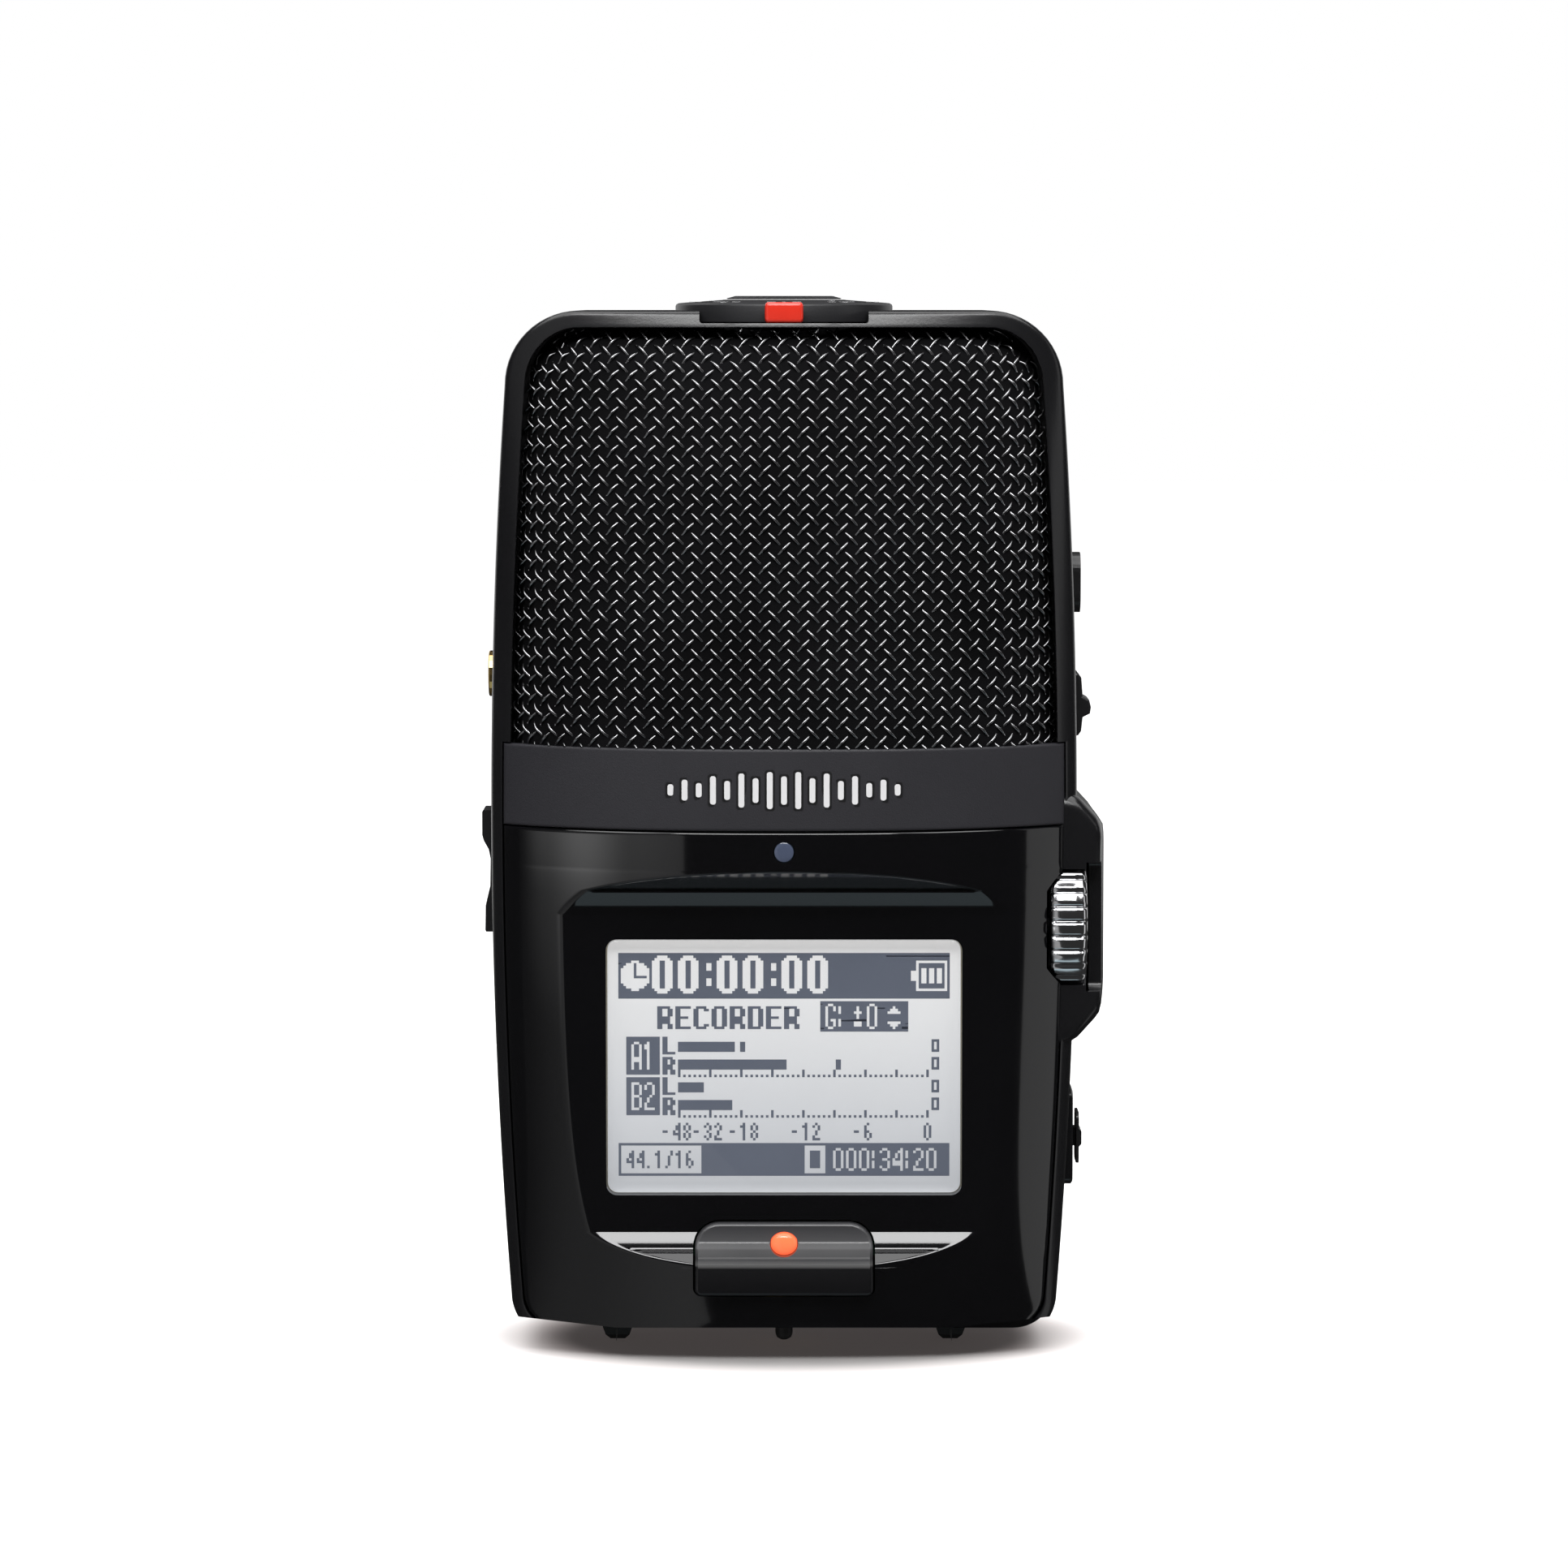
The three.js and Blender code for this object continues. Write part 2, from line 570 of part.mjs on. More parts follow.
function gearShape(teeth, inner, outer) {
  const points = [];
  for (let i = 0; i < teeth; i += 1) {
    for (const [turn, radius] of [[0, inner], [0.22, outer], [0.62, outer], [0.84, inner]]) {
      const angle = ((i + turn) / teeth) * 2 * Math.PI;
      points.push([radius * Math.cos(angle), radius * Math.sin(angle)]);
    }
  }
  return shapeOf(points);
}

function gainWheel() {
  const wheel = alongX(
    gearShape(20, WHEEL.radius - 0.45, WHEEL.radius), WHEEL.left, WHEEL.right, WHEEL.y, WHEEL.z,
  );
  return wheel.subtract(rod([20, WHEEL.y, WHEEL.z], [31.8, WHEEL.y, WHEEL.z], 1.5, 16));
}

function wheelPot() {
  const { y, z } = WHEEL;
  const can = box(19.8, 27.4, y - 4.2, y + 4.2, z - 4.6, z + 4.6);
  return can.add(rod([27, y, z], [31.4, y, z], 1.2, 16));
}

function sideKey(width, height, corner, x0, x1, z) {
  return alongX(roundedRect(width, height, corner), x0, x1, 0, z);
}

function playLever() {
  const { z, halfHeight, halfWidth } = LEVER;
  const profile = shapeOf([
    [30, z - halfHeight], [31.9, z - halfHeight], [32.25, z - halfHeight + 0.5], [32.4, z - 1.4], [33.2, z - 1],
    [33.3, z - 0.3], [33.1, z + 0.5], [32.4, z + 0.9], [32.25, z + halfHeight - 0.5], [31.9, z + halfHeight],
    [30, z + halfHeight],
  ]);
  return alongY(profile, -halfWidth, halfWidth);
}

function powerSlider() {
  const { z } = SLIDER;
  const stem = box(27.9, 32, -1, 1, z - 1, z + 1);
  const cap = sideKey(5, 5.6, 0.8, 31.9, 32.2, z);
  const ridge = alongY(
    shapeOf([[32.1, z - 1.1], [32.5, z - 0.7], [32.5, z + 0.7], [32.1, z + 1.1]]), -2.1, 2.1,
  );
  return union([stem, cap, ridge]);
}

function volumeRocker() {
  const { low, high, halfWidth } = ROCKER;
  const profile = shapeOf([
    [-29.5, low], [-32.4, low], [-32.5, low + 0.2], [-32.45, low + 2.9], [-32.2, low + 4], [-31.95, low + 5],
    [-31.9, low + 8], [-32.1, low + 9], [-32.65, low + 10], [-32.8, low + 10.6], [-32.8, high - 0.2], [-32.65, high],
    [-29.5, high],
  ]);
  return alongY(profile, -halfWidth, halfWidth);
}

function dialDisc() {
  const { radius, low, ringTop, shaft, knobRadius } = DIAL;
  return turned(
    [
      [shaft, low], [radius, low], [radius, low + 1.95], [radius - 0.35, low + 2.15], [knobRadius + 0.4, ringTop],
      [shaft, ringTop], [shaft, low],
    ],
    28,
  );
}

function dialKnob() {
  const { ringTop, knobTop, knobRadius } = DIAL;
  const foot = ringTop + 0.05;
  const crown = knobRadius - 1;
  return turned(
    [
      [0, foot], [knobRadius, foot], [knobRadius, foot + 0.05], [crown + 0.3, knobTop - 0.05], [crown, knobTop],
      [0, knobTop],
    ],
    24,
  );
}

function indexTab() {
  const front = -depthAt(0, BODY.top) - 0.3;
  const back = -DIAL.radius - 0.35;
  const top = DIAL.low + 2.25;
  const profile = shapeOf([
    [front, DIAL.low], [back, DIAL.low], [back, top - 0.2], [back - 0.25, top], [front + 0.4, top], [front, top - 0.4],
  ]);
  return alongX(profile, -2.05, 2.05);
}

// ---------- sockets, card and power ----------

function roundSocket(x0, x1, bodyEnd, z) {
  const barrel = rod([x0, 0, z], [x1, 0, z], JACK.radius);
  const body = box(x1 - 0.4, bodyEnd, -3, 3, z - 3, z + 3);
  return barrel.add(body).subtract(rod([x0 - 1, 0, z], [x0 + 11, 0, z], JACK.bore, 16));
}

function socketRing(x0, x1, z) {
  return rod([x0, 0, z], [x1, 0, z], JACK.radius, 20).subtract(
    rod([x0 - 1, 0, z], [x1 + 1, 0, z], JACK.bore, 16),
  );
}

function usbPort() {
  const { z, height, width } = USB;
  const tube = alongX(roundedRect(width, height, 0.6), -30, -22.5, 0, z, 2);
  const mouth = box(-32, -24, -width / 2 + 0.4, width / 2 - 0.4, z - height / 2 + 0.4, z + height / 2 - 0.4);
  const tongue = box(-29.6, -23.8, -0.4, 0.4, z - 2.6, z + 2.6);
  return tube.subtract(mouth).add(tongue);
}

function cardCover() {
  const outline = plug(insetBy(0), BODY.bottom, 30, -FLAP.halfWidth, FLAP.halfWidth);
  const slab = box(28, 33, -FLAP.halfWidth, FLAP.halfWidth, FLAP.low, FLAP.high);
  const inner = plug(insetBy(1.2), BODY.bottom + 1.2, 30, -20, 20);
  return outline.intersect(slab).subtract(inner);
}

function cardSocket() {
  return box(...BLOCKS.cardShell).subtract(box(...BLOCKS.cardSlot));
}

function battery(x) {
  const { y, radius, low, high } = BATTERY;
  const top = high - 1.4;
  return turned([[0, low], [radius, low], [radius, top], [2.6, top], [2.6, high], [0, high]], 16, x, y);
}

function contactSpring(x) {
  const { y } = BATTERY;
  return turned([[0, 5.5], [3.6, 5.5], [3.6, 5.8], [2.4, 6.6], [0, 6.6]], 14, x, y);
}

function batteryDoor() {
  const rows = levels(DOOR.low, DOOR.high, insetBy(0), 8);
  return sheet(REAR, rows, () => DOOR.halfWidth, 0, DOOR.thickness, 10);
}

function tripodInsert() {
  const { y, radius, bore, low, depth, roof } = TRIPOD;
  const end = low + depth;
  const top = end + roof;
  return turned([[0, end], [bore, end], [bore, low], [radius, low], [radius, top], [0, top]], 20, 0, y);
}

function foot(x) {
  const { width, halfLength: end, height } = FOOT;
  const half = width / 2;
  const profile = shapeOf([
    [-end, height], [-end, 1.6], [-end + 0.5, 0.6], [-end + 1.6, 0], [end - 1.6, 0], [end - 0.5, 0.6], [end, 1.6],
    [end, height],
  ]);
  const plan = shapeOf([
    [-half, height], [-half, 1.5], [-half + 0.3, 0.6], [-half / 2, 0], [half / 2, 0], [half - 0.3, 0.6], [half, 1.5],
    [half, height],
  ]);
  return alongX(profile, x - half, x + half).intersect(alongY(plan, -6, 6, x, 0));
}

function stub() {
  const { y, radius, low, high } = STUB;
  return turned([[0, low], [0.6, low + 0.1], [radius, low + 0.55], [radius, high], [0, high]], 12, 0, y);
}

function screw(x, z) {
  const { sunk, headRadius, shankRadius } = SCREW;
  const end = depthAt(x, z) - sunk;
  const head = rod([x, end - 1.2, z], [x, end, z], headRadius, 14);
  return head.add(rod([x, end - 7, z], [x, end - 1, z], shankRadius, 10));
}

// ---------- electronics ----------

function displayTray() {
  return box(...BLOCKS.tray).subtract(box(...BLOCKS.trayPocket));
}

function mainBoard() {
  return box(...BLOCKS.board).subtract(
    union([box(...BLOCKS.boardWheelNotch), box(...BLOCKS.boardCardNotch)]),
  );
}

function micPlaces() {
  return {
    mic_front_left: [[-7, -6.6, 88], [-0.5, -0.87, 0]],
    mic_front_right: [[7, -6.6, 88], [0.5, -0.87, 0]],
    mic_rear_left: [[-7, 6.6, 88], [-0.5, 0.87, 0]],
    mic_rear_right: [[7, 6.6, 88], [0.5, 0.87, 0]],
    mic_centre: [[0, -6.6, 76], [0, -1, 0]],
  };
}

function stepAlong(start, direction, distance) {
  return start.map((value, i) => value + direction[i] * distance);
}

function micCapsule([start, direction]) {
  return rod(start, stepAlong(start, direction, MIC.length), MIC.radius, 14);
}

function micBracket() {
  const plate = box(...BLOCKS.micPlate);
  const posts = Object.values(micPlaces()).map(([start, direction]) => {
    const sideways = Math.sign(start[1]);
    const root = [start[0] - direction[0] * 6.6, sideways * 0.5, start[2]];
    return rod(root, stepAlong(start, direction, -0.4), MIC.post, 8);
  });
  return union([plate, ...posts]);
}

function rotarySwitch() {
  return turned([[0, 99.5], [8, 99.5], [8, 109], [1.5, 109], [1.5, 112.4], [0, 112.4]], 24);
}

// ---------- assembly ----------

add("mid_frame", "frame_black", midFrame());
add("front_cover", "gloss_black", frontCover());
add("rear_cover", "gloss_black", rearCover());
add("front_band", "band_grey", band(FRONT));
add("rear_band", "band_grey", band(REAR));
add("front_grille", "grille_wire", grille(FRONT));
add("rear_grille", "grille_wire", grille(REAR));
add("front_foam", "foam", foam(FRONT));
add("rear_foam", "foam", foam(REAR));

const pane = roundedRect(WINDOW.width, WINDOW.height, WINDOW.corner);
add(
  "display_window", "clear_window",
  alongY(pane, -DISH_FLOOR, -DISH_FLOOR + WINDOW.thickness, 0, WINDOW.z, 3),
);
add("lcd_panel", "display", box(...BLOCKS.lcdPanel));
add("display_tray", "ivory", displayTray());
add("main_board", "board", mainBoard());
add(
  "status_lens", "lamp_blue",
  rod([0, 0.05 - depthAt(0, STATUS.z), STATUS.z], [0, STATUS.back, STATUS.z], STATUS.radius, 16),
);
add("record_button", "smoke_button", recordButton());
add("record_lamp", "red_lamp", recordLamp());
add("record_switch", "steel", box(...BLOCKS.recordSwitch));

add("mode_dial", "dial_black", dialDisc());
add("mode_knob", "dial_black", dialKnob());
add("index_tab", "index_red", indexTab());
add("rotary_switch", "steel", rotarySwitch());
add("gain_wheel", "chrome", gainWheel());
add("wheel_potentiometer", "steel", wheelPot());
add("menu_button", "key_black", sideKey(MENU.width, MENU.height, 2, 28.6, 32.15, MENU.z));
add("menu_switch", "steel", box(...BLOCKS.menuSwitch));
add("play_lever", "key_black", playLever());
add("play_carrier", "key_black", box(...BLOCKS.playCarrier));
add("play_switch", "steel", box(...BLOCKS.playSwitch));
add("power_slider", "key_black", powerSlider());
add("power_switch", "steel", box(...BLOCKS.powerSwitch));
add("volume_rocker", "key_black", volumeRocker());
add("volume_switch", "steel", box(...BLOCKS.volumeSwitch));

add("headphone_ring", "gold", socketRing(-32.1, -31.2, JACK.phonesZ));
add("headphone_socket", "key_black", roundSocket(-31.1, -27.9, -18, JACK.phonesZ));
add("line_in_socket", "key_black", roundSocket(-30.7, -27.3, -18, JACK.lineZ));
add("usb_port", "steel", usbPort());
add("card_cover", "rubber", cardCover());
add("card_socket", "steel", cardSocket());
add("memory_card", "key_black", box(...BLOCKS.memoryCard));

add("battery_left", "cell_wrap", battery(-BATTERY.x));
add("battery_right", "cell_wrap", battery(BATTERY.x));
add("contact_spring_left", "steel", contactSpring(-BATTERY.x));
add("contact_spring_right", "steel", contactSpring(BATTERY.x));
add("contact_bridge", "steel", box(...BLOCKS.contactBridge));
add("battery_door", "gloss_black", batteryDoor());
add("speaker", "steel", box(...BLOCKS.speaker));
add("tripod_insert", "brass", tripodInsert());
add("foot_left", "rubber", foot(-FOOT.x));
add("foot_right", "rubber", foot(FOOT.x));
add("bottom_stub", "rubber", stub());
screwPlaces().forEach(([x, z], i) => add(`case_screw_${i + 1}`, "steel", screw(x, z)));

for (const [name, place] of Object.entries(micPlaces())) {
  add(name, "brass", micCapsule(place));
}
add("mic_bracket", "ivory", micBracket());

export default recorder;
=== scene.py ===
"""Looks of a handheld voice recorder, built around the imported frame.

Shapes are worked out in millimetres from the body's centre line and scaled to metres when a mesh is made.
"""

import math

import bmesh
import bpy
import numpy as np
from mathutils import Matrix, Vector


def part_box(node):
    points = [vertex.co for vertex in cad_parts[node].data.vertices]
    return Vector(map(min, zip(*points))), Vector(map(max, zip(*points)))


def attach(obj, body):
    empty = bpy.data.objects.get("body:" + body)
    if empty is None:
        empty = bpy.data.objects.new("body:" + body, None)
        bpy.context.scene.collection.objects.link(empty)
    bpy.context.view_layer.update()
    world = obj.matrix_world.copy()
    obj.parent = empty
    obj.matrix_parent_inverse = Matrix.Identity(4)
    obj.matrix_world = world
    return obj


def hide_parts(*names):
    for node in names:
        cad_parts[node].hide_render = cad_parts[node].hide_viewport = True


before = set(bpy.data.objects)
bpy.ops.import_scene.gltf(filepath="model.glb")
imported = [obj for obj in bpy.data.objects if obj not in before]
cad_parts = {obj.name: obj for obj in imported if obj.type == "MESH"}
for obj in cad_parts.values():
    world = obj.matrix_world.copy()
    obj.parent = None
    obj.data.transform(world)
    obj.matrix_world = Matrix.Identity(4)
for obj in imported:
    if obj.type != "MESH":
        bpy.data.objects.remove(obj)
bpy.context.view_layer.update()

MM = 0.001
FRONT, REAR = -1, 1
BAND_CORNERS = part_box("front_band")
# Where the body's centre line stands in the frame, in millimetres.
SHIFT = Vector(((BAND_CORNERS[0][0] + BAND_CORNERS[1][0]) / 2 / MM, 0, 0))


def node_box(name):
    """Lowest and highest corner of a CAD node in millimetres, measured from the body's centre line."""
    low, high = (Vector(corner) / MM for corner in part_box(name))
    return low - SHIFT, high - SHIFT


def centre_of(name):
    """Middle of a CAD node in millimetres, as (x, y, z)."""
    return [(low + high) / 2 for low, high in zip(*node_box(name))]


# ---------- body shape, in millimetres ----------

BOTTOM, TOP = (corner.z for corner in node_box("mid_frame"))
WIDEST_Z = 58
HALF_WIDTH = 31.45
BARREL = 0.00075
TOP_CORNER, BOTTOM_CORNER = 8, 4.5
# The face bows out from the side walls, and the bow fades towards the top and the bottom.
SIDE_DEPTH = 10.5
BOW = 10.85
TOP_FADE, TOP_FADE_POWER = 0.77, 2.4
BOTTOM_FADE, BOTTOM_FADE_POWER = 0.45, 5
SECTION_POWER, SECTION_ROUND = 2.4, 0.8
# The frame's lip and rails stand round the covers and grilles, with a seam between them.
LIP = 1.3
RAIL_SIDE, RAIL_TOP = 2.2, 1.8
SEAM = 0.12
SKIN = 1.5
COVER_INSET = (LIP + SEAM, LIP + SEAM, LIP + SEAM)
BAND_LOW, BAND_HIGH = (corner.z for corner in node_box("front_band"))
COVER_TOP = BAND_LOW - SEAM
COVER_LOW = BOTTOM + LIP + SEAM
# Display recess: its floor, the foot of each wall, and how the walls rise from there.
WINDOW_LOW, WINDOW_HIGH = node_box("display_window")
WINDOW_Z = (WINDOW_LOW.z + WINDOW_HIGH.z) / 2
DISH_FLOOR = -WINDOW_LOW.y
LIP_Z, STRIP_Z, CREASE_Z, INLAY_Z = 14.1, 48.3, 50.9, 12.2
LOWER_SLOPE, LOWER_CURL = 0.45, 0.08
STRIP_RISE, STRIP_CURL = 0.95, 0.35
UPPER_SLOPE = 1.53
# Underside: half width and half depth of its flat middle, and the slopes beyond.
KEEL_FLAT, KEEL_SLOPE = (18, 6), (0.113, 0.176)
LAMP_Z, LENS_Z = 13, 55.3
# Spans that cutters reach along y, clear through the front or the rear cover.
FRONT_CUT, REAR_CUT = (-30, -10), (5, 30)
SMOOTH_ANGLE = 35
FULL_TURN = 2 * math.pi


def side_at(z):
    """Half width of the barrel-shaped body at a height."""
    return HALF_WIDTH - BARREL * (z - WIDEST_Z) ** 2


def bow_at(z):
    """How far the middle of the face stands out beyond the side walls."""
    up = np.clip((z - WIDEST_Z) / (TOP - WIDEST_Z), 0, 1)
    down = np.clip((WIDEST_Z - z) / (WIDEST_Z - BOTTOM), 0, 1)
    return BOW * (1 - TOP_FADE * up**TOP_FADE_POWER - BOTTOM_FADE * down**BOTTOM_FADE_POWER)


def depth_at(x, z):
    """Depth of the outer surface from the mid-plane, alike at the front and the back."""
    across = np.clip(np.abs(x) / side_at(z), 0, 1)
    return SIDE_DEPTH + bow_at(z) * (1 - across**SECTION_POWER) ** SECTION_ROUND


def half_width_at(z, side, top, bottom):
    """Half the width of the body's outline at z, inset from its side, top and bottom."""
    z = np.asarray(z, dtype=float)
    rise = np.clip((z - TOP + TOP_CORNER) / (TOP_CORNER - top), 0, 1)
    drop = np.clip((BOTTOM + BOTTOM_CORNER - z) / (BOTTOM_CORNER - bottom), 0, 1)
    trim = (TOP_CORNER - side) * (1 - np.sqrt(1 - rise**2))
    trim += max(0, BOTTOM_CORNER - side) * (1 - np.sqrt(1 - drop**2))
    return side_at(z) - side - trim


def rounding(distance, radius):
    """How far a surface has fallen away at a distance from its edge, for a rounded edge."""
    inner = radius - np.clip(distance, 0, radius)
    return radius - np.sqrt(np.maximum(radius**2 - inner**2, 0))


def blended_min(a, b, radius):
    """Smaller of two surfaces, with the crease between them rounded over."""
    mix = np.clip(0.5 + (b - a) / (2 * radius), 0, 1)
    return b + (a - b) * mix - radius * mix * (1 - mix)


def dish_at(z):
    """Section of the display recess: flat floor, stepped upper wall, lower wall curving outwards."""
    lower = np.maximum(LIP_Z - z, 0)
    strip = np.clip((z - STRIP_Z) / (CREASE_Z - STRIP_Z), 0, 1)
    upper = np.maximum(z - CREASE_Z, 0)
    lower_wall = DISH_FLOOR + LOWER_SLOPE * lower + LOWER_CURL * lower**2
    return lower_wall + STRIP_RISE * strip + STRIP_CURL * strip**2 + UPPER_SLOPE * upper


# ---------- meshes ----------


def grid_quads(rows, columns, start=0, closed=False):
    """Quads of a grid of points; closed also joins the last column to the first."""
    quads = []
    for i in range(rows - 1):
        for j in range(columns if closed else columns - 1):
            k = (j + 1) % columns
            a, b = start + i * columns, start + (i + 1) * columns
            quads.append((a + j, a + k, b + k, b + j))
    return quads


def mesh_object(name, points, faces, material, smooth_angle=SMOOTH_ANGLE):
    """New mesh object from points in millimetres, with its faces turned outwards."""
    mesh = bpy.data.meshes.new(name)
    placed = (np.asarray(points, dtype=float) + np.array(SHIFT)) * MM
    mesh.from_pydata(placed.tolist(), [], faces)
    work = bmesh.new()
    work.from_mesh(mesh)
    bmesh.ops.remove_doubles(work, verts=work.verts, dist=1e-7)
    bmesh.ops.recalc_face_normals(work, faces=work.faces)
    work.to_mesh(mesh)
    work.free()
    mesh.materials.append(material)
    shade(mesh, smooth_angle)
    obj = bpy.data.objects.new(name, mesh)
    bpy.context.collection.objects.link(obj)
    return obj


def shade(mesh, smooth_angle):
    """Smooth shading, with the sharper edges kept crisp."""
    mesh.shade_smooth()
    mesh.set_sharp_from_angle(angle=math.radians(smooth_angle))


def place(obj, body, slot, *nodes):
    """Let a piece ride on its body and stand for CAD nodes, which it hides; slot is not used."""
    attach(obj, body)
    if nodes:
        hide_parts(*nodes)
    return obj


def apply_modifiers(obj):
    """Bake an object's modifiers into its mesh."""
    graph = bpy.context.evaluated_depsgraph_get()
    mesh = bpy.data.meshes.new_from_object(obj.evaluated_get(graph))
    obj.modifiers.clear()
    obj.data = mesh
    shade(mesh, SMOOTH_ANGLE)


def boolean(obj, others, operation):
    """Add or cut away each of the other objects, which are then removed."""
    for other in others:
        modifier = obj.modifiers.new("boolean", "BOOLEAN")
        modifier.operation = operation
        modifier.solver = "EXACT"
        modifier.object = other
    apply_modifiers(obj)
    for other in others:
        bpy.data.objects.remove(other)


def merged(name, objects):
    """One object that holds the meshes of several, which are removed."""
    work = bmesh.new()
    materials = []
    for obj in objects:
        first = len(work.faces)
        work.from_mesh(obj.data)
        work.faces.ensure_lookup_table()
        slots = []
        for material in obj.data.materials:
            if material not in materials:
                materials.append(material)
            slots.append(materials.index(material))
        for face in work.faces[first:]:
            face.material_index = slots[min(face.material_index, len(slots) - 1)]
    mesh = bpy.data.meshes.new(name)
    work.to_mesh(mesh)
    work.free()
    for material in materials:
        mesh.materials.append(material)
    for obj in objects:
        bpy.data.objects.remove(obj)
    joined = bpy.data.objects.new(name, mesh)
    bpy.context.collection.objects.link(joined)
    return joined


def rounded_rect(width, height, corner, u=0.0, v=0.0, steps=6):
    """Outline of a rounded rectangle about (u, v)."""
    outline = []
    for quarter, (a, b) in enumerate(((1, 1), (-1, 1), (-1, -1), (1, -1))):
        centre = (u + a * (width / 2 - corner), v + b * (height / 2 - corner))
        for k in range(steps + 1):
            angle = (quarter + k / steps) * math.pi / 2
            outline.append((centre[0] + corner * math.cos(angle), centre[1] + corner * math.sin(angle)))
    return outline


def circle(radius, u=0.0, v=0.0, steps=40, squeeze=1.0):
    """Outline of a circle about (u, v), or of an ellipse if it is squeezed."""
    angles = [FULL_TURN * k / steps for k in range(steps)]
    return [(u + radius * math.cos(a), v + radius * squeeze * math.sin(a)) for a in angles]


def along(axis, outline, at):
    """Points of an outline laid across an axis: (y, z) for x, (x, z) for y and (x, y) for z."""
    where = "xyz".index(axis)
    return [(*pair[:where], at, *pair[where:]) for pair in outline]


def loft(name, sections, axis, material, smooth_angle=SMOOTH_ANGLE):
    """Closed solid through outlines of equal point count, given as (position along the axis, outline)."""
    count = len(sections[0][1])
    points = [point for at, outline in sections for point in along(axis, outline, at)]
    faces = grid_quads(len(sections), count, closed=True)
    last = (len(sections) - 1) * count
    faces.append(tuple(range(count)))
    faces.append(tuple(range(last, last + count)))
    return mesh_object(name, points, faces, material, smooth_angle)


def prism(axis, span, outline, material, name="cut"):
    """Straight solid with the same outline from end to end, used mostly to cut holes."""
    return loft(name, [(at, outline) for at in span], axis, material)


def pillow(name, axis, outline_at, low, high, edge, material):
    """Block with rounded edges: outline_at(inset) gives its outline, pulled in near its ends."""
    turns = [math.radians(a) for a in (0, 22, 45, 68, 90)]
    near = [(low + edge - edge * math.sin(t), edge * (1 - math.cos(t))) for t in reversed(turns)]
    far = [(high - edge + edge * math.sin(t), edge * (1 - math.cos(t))) for t in turns]
    return loft(name, [(at, outline_at(inset)) for at, inset in near + far], axis, material)


def turned(name, profile, material, steps, radius_at=None):
    """Solid turned about the dial's axis from a profile of (radius, z), from axis to axis."""
    points = []
    for radius, z in profile:
        for k in range(steps):
            angle = FULL_TURN * k / steps
            r = radius_at(radius, z, angle) if radius_at else radius
            points.append((r * math.cos(angle), r * math.sin(angle), z))
    faces = grid_quads(len(profile), steps, closed=True)
    faces.append(tuple(range(steps)))
    faces.append(tuple(range((len(profile) - 1) * steps, len(profile) * steps)))
    return mesh_object(name, points, faces, material)


def spread(low, high, step, creases=()):
    """Values from low to high, closer together at both ends and round each crease."""
    rim = np.array([0, 0.03, 0.08, 0.15, 0.25, 0.36])
    beyond_rim, least_gap = 0.45, 0.015
    inside = np.linspace(low + beyond_rim, high - beyond_rim, max(2, int((high - low) / step)))
    close = [c + d for c in creases for d in (-0.12, -0.04, 0.04, 0.12)]
    values = np.sort(np.concatenate([low + rim, inside, high - rim, close]))
    return thinned(values[(values >= low) & (values <= high)], least_gap)


def thinned(values, least_gap):
    """Sorted values, less those that all but repeat the one before."""
    return values[np.concatenate([[True], np.diff(values) > least_gap])]


def shell(name, x, z, outer, inner, side, material):
    """Closed shell between two surfaces over a grid; outer and inner are depths from the mid-plane."""
    points = np.concatenate([np.stack([x, side * y, z], axis=-1).reshape(-1, 3) for y in (outer, inner)])
    rows, columns = x.shape
    size = rows * columns
    faces = grid_quads(rows, columns) + grid_quads(rows, columns, size)
    edge = list(range(columns))
    edge += [i * columns + columns - 1 for i in range(1, rows)]
    edge += [(rows - 1) * columns + j for j in range(columns - 2, -1, -1)]
    edge += [i * columns for i in range(rows - 2, 0, -1)]
    faces += [(a, b, b + size, a + size) for a, b in zip(edge, edge[1:] + edge[:1])]
    return mesh_object(name, points, faces, material)


def edge_distance(x, zs, widths):
    """Distance of each grid point from the nearest edge of a piece that fills the outline."""
    slope = np.gradient(widths, zs)
    to_side = (widths[:, None] - np.abs(x)) / np.sqrt(1 + slope[:, None] ** 2)
    to_end = np.minimum(zs - zs[0], zs[-1] - zs)[:, None]
    return np.minimum(to_side, to_end)


def panel(name, zs, inset, surface, thickness, side, material, step=0.8, rim=0.3):
    """Closed curved shell inside the body's outline, with a rounded rim; surface(x, z) is its depth."""
    widths = half_width_at(zs, *inset)
    share = spread(-HALF_WIDTH, HALF_WIDTH, step) / HALF_WIDTH
    x = widths[:, None] * share[None, :]
    z = np.repeat(zs[:, None], len(share), axis=1)
    depth = surface(x, z)
    outer = depth - rounding(edge_distance(x, zs, widths), rim)
    return shell(name, x, z, outer, depth - thickness, side, material)


# ---------- materials ----------


def add_node(tree, kind, inputs=(), **settings):
    """New shader node with settings of its own; inputs gives sockets and their values."""
    node = tree.nodes.new("ShaderNode" + kind)
    for name, value in settings.items():
        setattr(node, name, value)
    set_inputs(node, inputs)
    return node


def set_inputs(node, inputs):
    for socket, value in dict(inputs).items():
        node.inputs[socket].default_value = value


def connect(tree, source, output, target, socket):
    tree.links.new(source.outputs[output], target.inputs[socket])


def new_material(name):
    """New material, its node tree and its main shader."""
    material = bpy.data.materials.new(name)
    material.use_nodes = True
    return material, material.node_tree, material.node_tree.nodes["Principled BSDF"]


